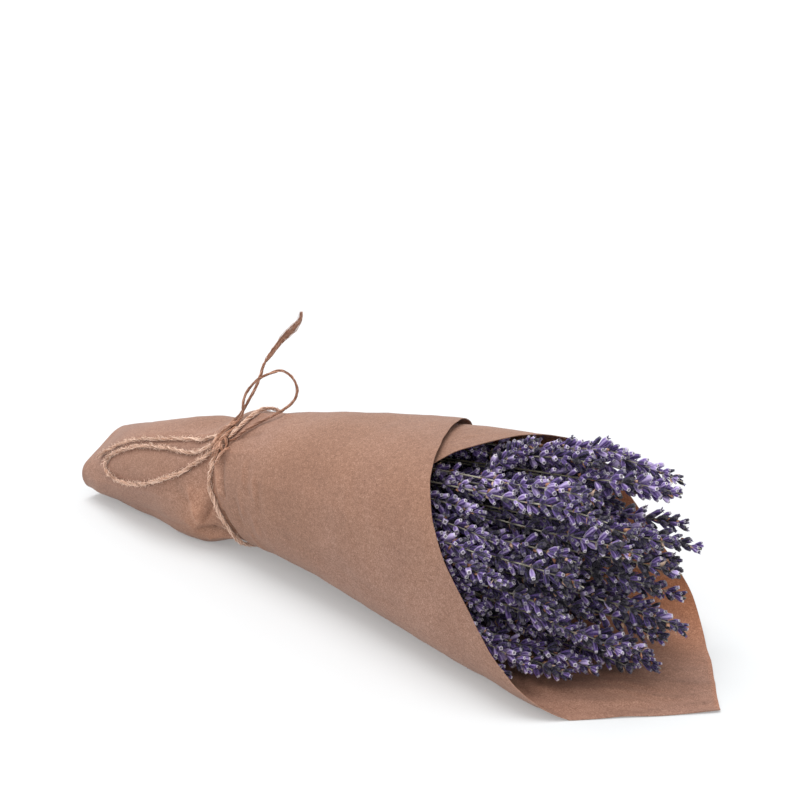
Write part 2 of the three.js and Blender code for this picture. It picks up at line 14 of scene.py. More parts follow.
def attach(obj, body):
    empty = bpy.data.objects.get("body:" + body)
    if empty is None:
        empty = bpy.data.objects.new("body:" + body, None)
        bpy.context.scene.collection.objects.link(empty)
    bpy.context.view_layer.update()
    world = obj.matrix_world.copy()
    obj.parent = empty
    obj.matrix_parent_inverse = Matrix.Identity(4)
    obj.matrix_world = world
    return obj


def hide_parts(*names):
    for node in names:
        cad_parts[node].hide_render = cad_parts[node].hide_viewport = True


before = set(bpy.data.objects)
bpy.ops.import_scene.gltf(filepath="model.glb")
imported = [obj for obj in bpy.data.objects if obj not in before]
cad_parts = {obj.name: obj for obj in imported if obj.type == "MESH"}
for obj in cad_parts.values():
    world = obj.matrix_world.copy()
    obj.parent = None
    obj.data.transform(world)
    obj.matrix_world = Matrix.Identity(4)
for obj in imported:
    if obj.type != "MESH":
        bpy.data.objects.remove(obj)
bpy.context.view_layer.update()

# Driving dimensions, the same as the solids have.
CENTRE = np.array([253.0, 1.0, 0.0])
TAIL_X = 26
FLAP_X = 480
PAPER = 0.8
TURN_STEPS = 32
INNER_EDGE = -24 / TURN_STEPS
OUTER_EDGE = 23 / TURN_STEPS

# The roll's outline along the bunch: place, half width, half height, height of the middle,
# sideways place of the middle, tilt in degrees, squareness underneath and squareness on top.
SECTIONS = [
    [TAIL_X, 25, 12, 22, -2, 30, 2.0, 2.0],
    [60, 27, 23, 27, -2, 26, 2.1, 2.1],
    [100, 33, 30, 33, -1, 14, 2.3, 2.2],
    [134, 36, 34, 34, 0, 4, 2.4, 2.2],
    [155, 30, 37, 43, 0, 0, 2.2, 2.2],
    [176, 36, 39, 46, 0, 0, 2.4, 2.2],
    [240, 46, 47, 52, 0, 0, 2.6, 2.3],
    [315, 59, 55, 54, 0, 0, 3.0, 2.5],
    [400, 72, 61, 56, 0, 0, 3.6, 2.7],
    [FLAP_X, 84, 64, 61, 0, 0, 4.0, 2.8],
]
WINDING = [[TAIL_X, 2], [200, 2], [300, 3], [FLAP_X, 4.5]]
BACK_MOUTH = [
    [INNER_EDGE, 306],
    [-0.6, 320],
    [-0.45, 345],
    [-0.3, 377],
    [-0.15, 430],
    [0, FLAP_X],
]
FRONT_MOUTH = [
    [0, FLAP_X],
    [0.1, 433],
    [0.2, 388],
    [0.3, 353],
    [0.4, 327],
    [0.5, 309],
    [0.6, 295],
    [OUTER_EDGE, 278],
]
MOUTH_START = 270
OUTLINE_POINTS = 96

# Flower spikes, in sprays of two, and their stems.
SPRAYS = 38
SPIKE_LENGTH = 52
SPIKE_RADIUS = 6
RING_STEP = 10
SPIKE_BOW = 1.5
BASE_SPREAD = 4.4
TIP_SPREAD = 5.4
TIERS = 3
TIER_STEP = 34
STEM_RADIUS = 1.1
STEM_ROOT_X = 196
SPIKE_SHAPE = [[0, 0.42], [0.15, 0.85], [0.35, 1], [0.7, 0.9], [1, 0.45]]
STRAYS = [
    [[378, 36, 101], [434, 38, 95], 115],
    [[398, 24, 65], [450, 30, 63], 80],
    [[408, 4, 33], [458, 6, 29], 95],
    [[331, 6, 88], [365, 6, 118], 180],
    [[356, 27, 99], [404, 27, 106], 20],
    [[352, -45, 15], [400, -50, 10], 60],
    [[376, -30, 12], [424, -26, 10], 10],
]
LAYOUT_SEED = 4
SPREAD_X = 420
FOREMOST_TIP = 452
REACH_FALL_Y = 0.013
REACH_MIDDLE_Y = 10
REACH_PER_Z = 0.25
REACH_MIDDLE_Z = 45
TIP_JITTER = 8
SHORTEST_SPIKE = 0.92
SPIKE_VARIATION = 0.16
TURN_JITTER = 0.5
STRAY_ROOT_SPREAD = 0.9
ROOM_MARGIN = 9.8
LOWEST_AXIS = 8.2
STEM_BALLS = 22
FIRST_STEM_BALL = 8
SPIKE_BALLS = 8
CLEARANCE = 0.6
NEAR_ENOUGH = 0.05
SETTLE_ROUNDS = 110
GOLDEN_ANGLE = math.pi * (3 - math.sqrt(5))

TWINE = 2.2
TWINE_LIFT = TWINE / 2 + 0.6


def to_frame(points):
    return (np.asarray(points, float) - CENTRE) / 1000


# Curves through tables


def between_all(rows, places):
    """The values of a table of rows at places between its rows, on smooth curves through them: one
    row of values for each place."""
    rows = np.asarray(rows, float)
    k = np.searchsorted(rows[1:-1, 0], places, side="left")
    start, end = rows[k], rows[k + 1]
    before, after = rows[np.maximum(k - 1, 0)], rows[np.minimum(k + 2, len(rows) - 1)]
    span = end[:, :1] - start[:, :1]
    t = (places[:, None] - start[:, :1]) / span
    leave = (end - before)[:, 1:] / (end - before)[:, :1] * span
    arrive = (after - start)[:, 1:] / (after - start)[:, :1] * span
    rise = (end - start)[:, 1:]
    bend = 3 * rise - 2 * leave - arrive + t * (leave + arrive - 2 * rise)
    return start[:, 1:] + t * (leave + t * bend)


def between(rows, place):
    """The same at one place."""
    return between_all(rows, np.array([place]))[0]


# The roll of paper


def outlines(x):
    """The roll's outline at each place: y, z and the share of the way round, a row of points each."""
    table = between_all(SECTIONS, x)
    half_width, half_height, middle_z, middle_y, tilt, low, high = (c[:, None] for c in table.T)
    angle = np.linspace(0, 2 * np.pi, OUTLINE_POINTS + 1)[None, :]
    s, c = np.sin(angle), np.cos(angle)
    power = low + (high - low) * (1 - c) / 2
    reach = (np.abs(s) ** power + np.abs(c) ** power) ** (-1 / power)
    across, up = -half_width * reach * s, -half_height * reach * c
    lean = np.radians(tilt)
    y = middle_y + across * np.cos(lean) - up * np.sin(lean)
    z = np.maximum(middle_z + across * np.sin(lean) + up * np.cos(lean), PAPER / 2)
    steps = np.hypot(np.diff(y, axis=1), np.diff(z, axis=1))
    way = np.concatenate([np.zeros((len(y), 1)), np.cumsum(steps, axis=1)], axis=1)
    return y, z, way / way[:, -1:], way[:, -1]


def sheet_points(x, turn, height=0.0):
    """Points at turns of the roll and at heights outside the sheet's middle, which lies on the
    table or above it."""
    x, turn, height = np.broadcast_arrays(
        np.asarray(x, float), np.asarray(turn, float), np.asarray(height, float)
    )
    y, z, ways, _ = outlines(x)
    way = turn - np.floor(turn)
    k = np.sum(ways[:, 1:OUTLINE_POINTS] < way[:, None], axis=1)
    row = np.arange(len(x))
    t = (way - ways[row, k]) / (ways[row, k + 1] - ways[row, k])
    before = np.where(k == 0, OUTLINE_POINTS - 1, k - 1)
    after = np.where(k + 2 > OUTLINE_POINTS, 1, k + 2)
    along_y = (1 - t) * (y[row, k + 1] - y[row, before]) + t * (y[row, after] - y[row, k])
    along_z = (1 - t) * (z[row, k + 1] - z[row, before]) + t * (z[row, after] - z[row, k])
    length = np.hypot(along_y, along_z)
    out_y, out_z = -along_z / length, along_y / length
    winding = between_all(WINDING, x)[:, 0] * turn
    middle_y = y[row, k] + t * (y[row, k + 1] - y[row, k]) + out_y * winding
    middle_z = z[row, k] + t * (z[row, k + 1] - z[row, k]) + out_z * winding
    middle_z = np.maximum(middle_z, PAPER / 2)
    return np.stack([x, middle_y + out_y * height, middle_z + out_z * height], axis=1)


# Crumples in the paper

# Folds near the tie, each along a straight line in the unrolled sheet: place and share of the way
# round of its two ends, half width and height.
FOLDS = [
    [141, 0.275, 144, 0.17, 2.2, 2.6],
    [148, 0.245, 146, 0.205, 4.2, 2.2],
    [154, 0.215, 146, 0.168, 1.7, -3.0],
    [141, 0.152, 150, 0.13, 1.8, -3.0],
    [150, 0.13, 162, 0.113, 1.5, -1.8],
    [146, 0.115, 160, 0.095, 3.2, 2.4],
    [134, 0.19, 141, 0.15, 2.6, 1.0],
    [130, 0.30, 140, 0.24, 2.6, -1.0],
    [159, 0.32, 164, 0.25, 2.6, 2.2],
    [164, 0.33, 169, 0.245, 1.6, -2.0],
    [165, 0.19, 171, 0.15, 1.4, -3.0],
    [171, 0.15, 177, 0.085, 1.4, -3.4],
    [186, 0.34, 189, 0.3, 1.6, 1.0],
    [190, 0.33, 193, 0.28, 1.6, -0.9],
    [198, 0.31, 200, 0.27, 1.6, 1.0],
    [202, 0.3, 204, 0.24, 1.8, -0.9],
    [185, 0.27, 187, 0.22, 1.8, 0.9],
    [181, 0.25, 184, 0.19, 1.8, -0.9],
    [197, 0.22, 199, 0.18, 1.8, 0.9],
    [191, 0.16, 194, 0.12, 1.8, 1.0],
    [168, 0.4, 186, 0.42, 2.2, -1.4],
    [168, 0.36, 192, 0.37, 2.4, 1.1],
    [128, 0.335, 148, 0.345, 2.4, -1.2],
    [128, 0.45, 148, 0.45, 3.0, 1.4],
    [168, 0.5, 190, 0.5, 3.0, 1.4],
    [128, 0.66, 150, 0.65, 2.4, -1.8],
    [164, 0.62, 186, 0.61, 2.4, -1.7],
    [128, 0.71, 150, 0.7, 2.4, 1.6],
    [166, 0.68, 188, 0.68, 2.4, 1.6],
    [130, 0.76, 152, 0.755, 2.4, -1.7],
    [166, 0.745, 188, 0.745, 2.4, -1.6],
    [132, 0.81, 154, 0.81, 2.4, 1.6],
    [168, 0.82, 190, 0.82, 2.4, 1.5],
    [136, 0.9, 158, 0.9, 2.8, -1.6],
]
# Long creases along the wrap: the line's points as place and share of the way round, half width
# and height.
CREASES = [
    [[[215, 0.078], [247, 0.074], [280, 0.068], [310, 0.085]], 2.4, -2.2],
    [[[180, 0.3], [230, 0.31], [300, 0.3]], 5.0, 0.5],
    [[[190, 0.22], [250, 0.2], [330, 0.19]], 6.0, -0.5],
    [[[40, 0.3], [90, 0.28], [135, 0.26]], 4.0, 0.7],
    [[[50, 0.2], [100, 0.19], [140, 0.17]], 4.0, -0.7],
    [[[60, 0.48], [100, 0.47], [140, 0.46]], 4.5, 0.6],
    [[[200, 0.62], [260, 0.64], [300, 0.65]], 5.0, -0.6],
    [[[190, 0.85], [260, 0.86], [340, 0.86]], 5.0, 0.6],
]
# Wide bulges: place, share of the way round, half length, half width across and height.
BULGES = [
    [66, 0.15, 26, 12, 1.2],
    [112, 0.11, 42, 14, 2.6],
    [150, 0.085, 14, 13, 3.2],
    [28, 0.25, 9, 8, -3.4],
    [27, 0.36, 9, 6, 1.0],
    [27, 0.52, 13, 14, -2.4],
    [44, 0.71, 20, 10, 1.7],
    [124, 0.585, 17, 16, 3.6],
    [150, 0.56, 12, 14, 2.4],
]
# Waves all over the sheet: how many add up, what brings their sum down to about 1, and for each
# kind its height, its shortest and longest wave and its seed.
WAVES = 26
WAVE_SCALE = 1.6
SHEET_WAVES = [[0.32, 28, 70, 31], [0.1, 9, 20, 32]]
# How sharply a fold falls off from its line, and where a crease fades in and out round its ends.
FOLD_POWER = 1.2
CREASE_IN = (-12, 8)
CREASE_OUT = (-20, 12)
# The outer layer stands off the inner one where its edge runs over the top: how far, between which
# turns and over what length.
LAYER_GAP = 0.9
LAYER_TURNS = (0.44, 0.58)
LAYER_LENGTH = 45
# Wrinkles on the flap: the way of its lower edge, their bends as height, length and phase, the
# steps between ridges and between ripples, the lengths of their patches, and where they lie.
FLAP_WAY = (0.777, 0.629)
FLAP_BENDS = [[2.6, 21, 0.0], [1.1, 7.3, 1.0]]
RIDGE_STEP = 4.4
RIPPLE_STEP = 2.7
RIPPLE_BEND = 1.6
RIPPLE_PHASE = 1.3
RIPPLE_SHARE = 0.8
FLAP_PATCHES = (17, 7)
FLAP_TURN = 0.01
FLAP_REACH = 0.12
FLAP_START = (375, 405)


def mouth_at(turn):
    back = between_all(BACK_MOUTH, np.minimum(turn, 0))[:, 0]
    front = between_all(FRONT_MOUTH, np.maximum(turn, 0))[:, 0]
    return np.where(turn < 0, back, front)


def smooth_step(value, low, high):
    t = np.clip((value - low) / (high - low), 0, 1)
    return t * t * (3 - 2 * t)


def apart_round(around, other, girth):
    """The way round from one share to another, in millimetres, the short way."""
    return ((around - other + 0.5) % 1 - 0.5) * girth


def soft_waves(x, v, shortest, longest, seed):
    """A gentle unevenness, about -1 to 1, over a surface unrolled flat."""
    random = np.random.default_rng(seed)
    total = np.zeros_like(x)
    for _ in range(WAVES):
        angle = random.uniform(0, 2 * np.pi)
        size = random.uniform(shortest, longest)
        phase = random.uniform(0, 2 * np.pi)
        total += np.sin(2 * np.pi * (x * math.cos(angle) + v * math.sin(angle)) / size + phase)
    return total / math.sqrt(WAVES / 2) / WAVE_SCALE


def fold_lift(x, turn, girth):
    """How far the folds and creases stand out from the plain roll, in millimetres."""
    around = turn % 1
    lift = np.zeros_like(x)
    for start_x, start_share, end_x, end_share, half_width, height in FOLDS:
        long_x, long_v = end_x - start_x, (end_share - start_share) * girth
        u, w = x - start_x, apart_round(around, start_share, girth)
        t = np.clip((u * long_x + w * long_v) / (long_x ** 2 + long_v ** 2), 0, 1)
        away = np.hypot(u - t * long_x, w - t * long_v)
        lift += height * np.exp(-(away / half_width) ** FOLD_POWER)
    for line, half_width, height in CREASES:
        places = [point[0] for point in line]
        shares = np.interp(x, places, [point[1] for point in line])
        w = apart_round(around, shares, girth)
        fade = smooth_step(x, places[0] + CREASE_IN[0], places[0] + CREASE_IN[1])
        fade *= 1 - smooth_step(x, places[-1] + CREASE_OUT[0], places[-1] + CREASE_OUT[1])
        lift += height * fade * np.exp(-np.abs(w / half_width) ** FOLD_POWER)
    return lift


def paper_lift(x, turn, girth):
    """How far the sheet stands out from the plain roll, in millimetres."""
    around = turn % 1
    v = turn * girth
    lift = fold_lift(x, turn, girth)
    for height, shortest, longest, seed in SHEET_WAVES:
        lift += height * soft_waves(x, v, shortest, longest, seed)
    for place, share, half_length, half_width, height in BULGES:
        u = x - place
        w = apart_round(around, share, girth)
        lift += height * np.exp(-((u / half_length) ** 2) - (w / half_width) ** 2)
    gap = smooth_step(turn, *LAYER_TURNS)
    gap *= smooth_step(x, mouth_at(turn) - LAYER_LENGTH, mouth_at(turn))
    return lift + LAYER_GAP * gap


def flap_waves(points, turn):
    """Wavy wrinkles on the flap, along the lower edge, as shares of their height."""
    x, y = points[:, 0], points[:, 1]
    along = FLAP_WAY[0] * x + FLAP_WAY[1] * y
    across = FLAP_WAY[0] * y - FLAP_WAY[1] * x
    bend = sum(height * np.sin(along / length + phase) for height, length, phase in FLAP_BENDS)
    ridge = 1 - np.abs(np.sin((across + bend) / RIDGE_STEP))
    ripple = 1 - np.abs(np.sin((across - RIPPLE_BEND * bend) / RIPPLE_STEP + RIPPLE_PHASE))
    fade = 0.5 + 0.5 * np.sin(along / FLAP_PATCHES[0] + across / FLAP_PATCHES[1])
    where = np.exp(-((turn - FLAP_TURN) / FLAP_REACH) ** 2) * smooth_step(x, *FLAP_START)
    return (ridge * fade + RIPPLE_SHARE * ripple * (1 - fade)) * where


def on_wrap(x, around, height=TWINE_LIFT):
    """A point outside the crumpled wrap, at a share of the way round from underneath towards the
    front."""
    place, turn = np.array([float(x)]), np.array([around if around < OUTER_EDGE else around - 1.0])
    lift = paper_lift(place, turn, outlines(place)[3])
    return sheet_points(place, turn, PAPER / 2 + height + lift)[0]


def wrap_line(rows):
    """Points on the wrap: place, share of the way round and, where it is more than usual, how much
    further out."""
    return [on_wrap(place, around, TWINE_LIFT + sum(more)) for place, around, *more in rows]


# The lines that the twine follows, on the wrap by wrap_line and in the open as x, y and z

BAND = wrap_line([
    [157.4, 0.36], [156, 0.335], [155, 0.3], [155, 0.26, 0.2], [158, 0.22, 0.3], [163, 0.18, 0.3],
    [169, 0.14, 0.4], [172, 0.1, 0.3], [173, 0.04], [172, 0.98], [170, 0.92], [167, 0.86],
    [164, 0.8, 0.8], [163, 0.74, 2.2], [163, 0.68, 0.3], [164, 0.62], [165, 0.56], [166, 0.5],
    [166, 0.46], [165, 0.422], [162.2, 0.395],
])
LONG_LOOP = wrap_line([
    [154.3, 0.38], [150, 0.382], [143, 0.378], [134, 0.385], [124, 0.395], [113, 0.403],
    [102, 0.408], [90, 0.416], [78, 0.42], [67, 0.415], [59, 0.402], [55, 0.38], [57, 0.355],
    [64, 0.33], [76, 0.308], [93, 0.296], [107, 0.303], [120, 0.318], [132, 0.333], [141, 0.345],
    [149, 0.356], [154.4, 0.369],
])
LOW_END = wrap_line([
    [155.5, 0.39], [151, 0.408], [144, 0.417], [136, 0.424], [127, 0.432], [118, 0.434],
    [108, 0.434], [98, 0.437], [87, 0.445], [76, 0.45], [65, 0.446], [55, 0.434], [47, 0.42],
    [42, 0.4],
])
UPRIGHT_LOOP = wrap_line([
    [159.7, 0.406, 0.4], [159.2, 0.427], [159, 0.447], [159, 0.468, 1],
]) + [
    [158.8, -6, 93], [159.6, -4.2, 98], [162, -1.8, 103], [165, 2, 107], [170, 6, 110],
    [175, 10, 112], [180, 12, 110], [184, 12, 107], [187, 11, 102], [188, 7, 97], [187, 1, 93.5],
] + wrap_line([
    [184, 0.476, 1], [178, 0.444], [172, 0.416], [168, 0.398], [164.6, 0.387],
])
UPRIGHT_END = wrap_line([
    [155.2, 0.418, 0.7], [154.5, 0.43], [155, 0.452], [156, 0.475, 1],
]) + [
    [157.8, 0.6, 93], [159.6, 4.5, 100], [160, 8, 106], [160, 12, 113], [161, 17, 118],
    [163, 21, 123], [164, 26, 127], [167, 31, 132], [168, 35, 136], [167, 38, 141],
]
KNOT_X = 159
KNOT_AROUND = 0.378
KNOT_LIFT = 3.2
KNOT_RADIUS = 3.0
KNOT_STRETCH = 1.3
KNOT_LOBES = 1.5
KNOT_POINTS = 97
# Strands over the knot: place and share of the way round of both ends, and the height there.
KNOT_STRANDS = [
    [(150.5, 0.374), (161.0, 0.396), 1.9],
    [(154.5, 0.345), (160.5, 0.45), 1.9],
    [(157.5, 0.333), (162.5, 0.428), 1.8],
    [(155.5, 0.352), (161.5, 0.44), 2.8],
    [(159.5, 0.322), (168.5, 0.37), 1.4],
    [(159.0, 0.386), (163.5, 0.358), 2.0],
]
KNOT_STRAND_RISE = 3.0
KNOT_STRAND_THICK = 0.6
KNOT_STRAND_POINTS = 7


# Meshes

# A line's first side is square to its way and to UPWARDS, or to SIDEWAYS where it is steep.
UPWARDS = np.array([0.0, 0.0, 1.0])
SIDEWAYS = np.array([0.0, 1.0, 0.0])
STEEP = 0.9


class Form:
    """Points, faces, each face's material and each point's values, gathered bit by bit."""

    def __init__(self):
        self.points, self.faces, self.kinds = [], [], []
        self.along, self.tone = [], []
        self.count = 0

    def add(self, points, faces, kind=0, along=0.0, tone=0.5):
        """Adds points (n, 3) and faces, lists of point numbers from 0."""
        points = np.asarray(points, float)
        self.points.append(points)
        self.faces += [[int(i) + self.count for i in face] for face in faces]
        self.kinds += [kind] * len(faces)
        self.along.append(np.broadcast_to(along, len(points)))
        self.tone.append(np.broadcast_to(tone, len(points)))
        self.count += len(points)

    def piece(self, name, materials, nodes, slot, crease=None):
        """Makes the object, hangs it on the root body and hides the CAD nodes that it stands for."""
        mesh = bpy.data.meshes.new(name)
        mesh.from_pydata(to_frame(np.concatenate(self.points)).tolist(), [], self.faces)
        for values, label in ((self.along, "along"), (self.tone, "tone")):
            layer = mesh.attributes.new(label, "FLOAT", "POINT")
            layer.data.foreach_set("value", np.concatenate(values).astype(np.float32))
        for material in materials:
            mesh.materials.append(material)
        mesh.polygons.foreach_set("material_index", self.kinds)
        mesh.polygons.foreach_set("use_smooth", [True] * len(self.faces))
        if crease is not None:
            mesh.set_sharp_from_angle(angle=math.radians(crease))
        mesh.update()
        made = bpy.data.objects.new(name, mesh)
        bpy.context.scene.collection.objects.link(made)
        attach(made, "root")
        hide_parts(*nodes)
        return made


def unit(vectors):
    return vectors / np.linalg.norm(vectors, axis=-1, keepdims=True)


def smooth_line(points, spacing):
    """Evenly spaced points on a smooth curve through the given ones."""
    points = np.asarray(points, float)
    steps = np.linalg.norm(np.diff(points, axis=0), axis=1)
    places = np.concatenate([[0], np.cumsum(steps)])
    rows = np.column_stack([places, points])
    count = max(int(round(places[-1] / spacing)), 2)
    return between_all(rows, np.linspace(0, places[-1], count + 1))


def length_of(line):
    return float(np.sum(np.linalg.norm(np.diff(line, axis=0), axis=1)))


def frames_along(line):
    """Directions along a line and two directions square to it that turn as little as they can."""
    way = unit(np.gradient(line, axis=0))
    side = np.empty_like(way)
    helper = UPWARDS if abs(way[0][2]) < STEEP else SIDEWAYS
    side[0] = unit(np.cross(helper, way[0]))
    for k in range(1, len(line)):
        side[k] = unit(side[k - 1] - way[k] * np.dot(side[k - 1], way[k]))
    return way, side, np.cross(way, side)


def closed_rings(rings, sides):
    """Faces of a closed form made of rings with equally many points."""
    faces = []
    for r in range(rings - 1):
        for k in range(sides):
            a, b = r * sides + k, r * sides + (k + 1) % sides
            faces.append([a, b, b + sides, a + sides])
    last = (rings - 1) * sides
    faces.append(list(range(sides))[::-1])
    faces.append([last + k for k in range(sides)])
    return faces


def tube(line, radius, sides, turn=0.0):
    """A closed tube along a line: its points and faces. radius is one number or one for each point."""
    _, side, rise = frames_along(line)
    radius = np.broadcast_to(radius, len(line))
    angle = 2 * np.pi * np.arange(sides) / sides + turn
    ring = np.cos(angle)[None, :, None] * side[:, None] + np.sin(angle)[None, :, None] * rise[:, None]
    points = line[:, None] + radius[:, None, None] * ring
    return points.reshape(-1, 3), closed_rings(len(line), sides)


# Materials

KRAFT_OUTSIDE = [
    (0.31, (0.125, 0.056, 0.034)), (0.5, (0.25, 0.128, 0.081)), (0.68, (0.41, 0.24, 0.172)),
]
KRAFT_INSIDE = [
    (0.31, (0.12, 0.056, 0.034)), (0.5, (0.254, 0.127, 0.083)), (0.68, (0.415, 0.235, 0.165)),
]
# Painted light: where the tone is 1, the lining is tinted orange as if lit through the paper; the outside
# gets no tint.
OUTSIDE_BACKLIT_TINT = (1.0, 1.0, 1.0)
INSIDE_BACKLIT_TINT = (1.6, 1.28, 0.96)
GREYED = (0.975, 1.0, 1.06)
GREYED_PARTS = [(0.38, 0.0), (0.62, 1.0)]
STEM_COLOURS = [
    (0.2, (0.15, 0.135, 0.095)), (0.5, (0.36, 0.34, 0.265)), (0.8, (0.6, 0.57, 0.48)),
]
BRACT_COLOURS = [
    (0.2, (0.15, 0.065, 0.036)), (0.5, (0.41, 0.21, 0.125)), (0.8, (0.66, 0.5, 0.39)),
]
COROLLA_COLOURS = [
    (0.15, (0.05, 0.03, 0.14)), (0.5, (0.12, 0.07, 0.27)), (0.75, (0.20, 0.12, 0.20)),
    (0.9, (0.33, 0.15, 0.07)),
]
JUTE_COLOURS = [
    (0.26, (0.15, 0.066, 0.04)), (0.46, (0.47, 0.264, 0.174)), (0.7, (0.93, 0.68, 0.54)),
]
FLOOR_GREYS = [(0.3, (0.493, 0.502, 0.508)), (0.7, (0.503, 0.512, 0.518))]
# A calyx: its violets by tone, then for each part of it a colour and how much of that there is,
# by the grain of the down or by the value along the calyx. The pale rim is partly real and partly a
# painted highlight, and the dark throat is painted shade in the mouth. The rim is duller where the
# tone is low.
CALYX_VIOLETS = [
    (0.12, (0.003, 0.0016, 0.007)), (0.38, (0.025, 0.0135, 0.074)), (0.65, (0.118, 0.062, 0.255)),
    (0.95, (0.46, 0.37, 0.63)),
]
CALYX_SHEEN = (0.8, 0.78, 0.9, 1.0)
DOWN, DOWN_PARTS = (0.6, 0.56, 0.68), [(0.54, 0.0), (0.8, 0.36)]
FOOT, FOOT_PARTS = (0.52, 0.49, 0.44), [(0.0, 0.9), (0.1, 0.65), (0.26, 0.0)]
RIM_AND_HIGHLIGHT, RIM_HIGHLIGHT_PARTS = (0.9, 0.86, 0.88), [(0.62, 0.0), (0.71, 0.9)]
RIM_BY_TONE = [(0.25, 0.1), (0.65, 1.0)]
THROAT_SHADE, THROAT_SHADE_PARTS = (0.12, 0.1, 0.135), [(0.75, 0.0), (0.88, 0.9)]


def material(name, roughness, specular=0.35, sheen=0.0):
    made = bpy.data.materials.new(name)
    made.use_nodes = True
    shader = made.node_tree.nodes["Principled BSDF"]
    shader.inputs["Roughness"].default_value = roughness
    shader.inputs["Specular IOR Level"].default_value = specular
    shader.inputs["Sheen Weight"].default_value = sheen
    return made, made.node_tree, shader


def node(tree, kind, **inputs):
    """A node with values or links set on the inputs of the given names."""
    made = tree.nodes.new(kind)
    for name, value in inputs.items():
        put(tree, made.inputs[name], value)
    return made


def put(tree, socket, value):
    if isinstance(value, bpy.types.NodeSocket):
        tree.links.new(value, socket)
    else:
        socket.default_value = value


def place_in(tree, scale=(1.0, 1.0, 1.0)):
    """The place in the object, stretched."""
    coordinate = tree.nodes.new("ShaderNodeTexCoord")
    mapping = node(tree, "ShaderNodeMapping", Vector=coordinate.outputs["Object"], Scale=scale)
    return mapping.outputs["Vector"]


def noise(tree, vector, scale, detail=3.0, roughness=0.55):
    made = node(tree, "ShaderNodeTexNoise", Vector=vector, Scale=scale, Detail=detail,
                Roughness=roughness)
    return made.outputs["Fac"]


def number(tree, label):
    """A value kept at each point of the mesh."""
    made = tree.nodes.new("ShaderNodeAttribute")
    made.attribute_name = label
    return made.outputs["Fac"]


def ramp(tree, factor, stops):
    """Colours or greys at places from 0 to 1, blended between."""
    made = node(tree, "ShaderNodeValToRGB", Fac=factor)
    elements = made.color_ramp.elements
    while len(elements) < len(stops):
        elements.new(0.5)
    for element, (place, colour) in zip(elements, stops):
        element.position = place
        element.color = (*colour, 1.0) if isinstance(colour, tuple) else (colour, colour, colour, 1.0)
    return made.outputs["Color"]


def mixed(tree, factor, one, other, blend="MIX"):
    made = tree.nodes.new("ShaderNodeMix")
    made.data_type = "RGBA"
    made.blend_type = blend
    for index, value in ((0, factor), (6, one), (7, other)):
        if isinstance(value, tuple):
            value = (*value, 1.0)
        put(tree, made.inputs[index], value)
    return made.outputs[2]


def arithmetic(tree, operation, one, other):
    made = tree.nodes.new("ShaderNodeMath")
    made.operation = operation
    put(tree, made.inputs[0], one)
    put(tree, made.inputs[1], other)
    return made.outputs["Value"]


def weighed(tree, *terms):
    """The sum of values that are each multiplied by a weight."""
    total = 0.0
    for value, weight in terms:
        total = arithmetic(tree, "ADD", total, arithmetic(tree, "MULTIPLY", value, weight))
    return total


def bump(tree, shader, height, strength, distance):
    made = node(tree, "ShaderNodeBump", Height=height, Strength=strength, Distance=distance)
    tree.links.new(made.outputs["Normal"], shader.inputs["Normal"])


def kraft(name, colours, backlit_tint):
    """Kraft paper: a mottle of fibres, faint streaks along the machine's way and fine specks. Where
    the tone is 1 the colour is multiplied by a tint of painted light, as if lit through the paper, and
    everywhere by the painted shade and light of the folds."""
    made, tree, shader = material(name, roughness=0.62, specular=0.3, sheen=0.05)
    place = place_in(tree)
    stretched = place_in(tree, (90.0, 900.0, 900.0))
    mottle = noise(tree, place, scale=420.0, detail=5.0, roughness=0.7)
    streaks = noise(tree, stretched, scale=1.0, detail=3.0, roughness=0.6)
    cloud = noise(tree, place, scale=16.0, detail=2.0)
    specks = noise(tree, place, scale=1500.0, detail=2.0, roughness=0.6)
    blend = weighed(tree, (mottle, 0.26), (streaks, 0.06), (cloud, 0.18), (specks, 0.5))
    greyer = ramp(tree, noise(tree, place, scale=13.0, detail=2.0), GREYED_PARTS)
    colour = mixed(tree, greyer, ramp(tree, blend, colours), GREYED, "MULTIPLY")
    # Painted light through the paper where the tone is 1, then the folds' painted shade and light.
    colour = mixed(tree, number(tree, "tone"), colour, backlit_tint, "MULTIPLY")
    colour = mixed(tree, 1.0, colour, number(tree, "along"), "MULTIPLY")
    tree.links.new(colour, shader.inputs["Base Color"])
    fine = weighed(tree, (specks, 1.0), (mottle, 1.5))
    bump(tree, shader, fine, strength=0.3, distance=0.00025)
    return made


def stem_look():
    made, tree, shader = material("dried_stem", roughness=0.8, specular=0.2)
    place = place_in(tree, (60.0, 500.0, 500.0))
    grain = noise(tree, place, scale=1.0, detail=4.0, roughness=0.6)
    shade = weighed(tree, (grain, 0.5), (number(tree, "tone"), 0.5))
    tree.links.new(ramp(tree, shade, STEM_COLOURS), shader.inputs["Base Color"])
    bump(tree, shader, grain, strength=0.3, distance=0.0002)
    return made


def dry_look(name, colours, grain_scale, grain_share, **surface):
    """A dry leaf or petal: a grain over its own tone, which together pick the colour."""
    made, tree, shader = material(name, **surface)
    grain = noise(tree, place_in(tree), scale=grain_scale)
    shade = weighed(tree, (grain, grain_share), (number(tree, "tone"), 1 - grain_share))
    tree.links.new(ramp(tree, shade, colours), shader.inputs["Base Color"])
    return made


def bract_look():
    return dry_look("dried_bract", BRACT_COLOURS, grain_scale=900.0, grain_share=0.4,
                    roughness=0.85, specular=0.15)


def corolla_look():
    return dry_look("dried_corolla", COROLLA_COLOURS, grain_scale=1400.0, grain_share=0.35,
                    roughness=0.7, specular=0.25, sheen=0.15)


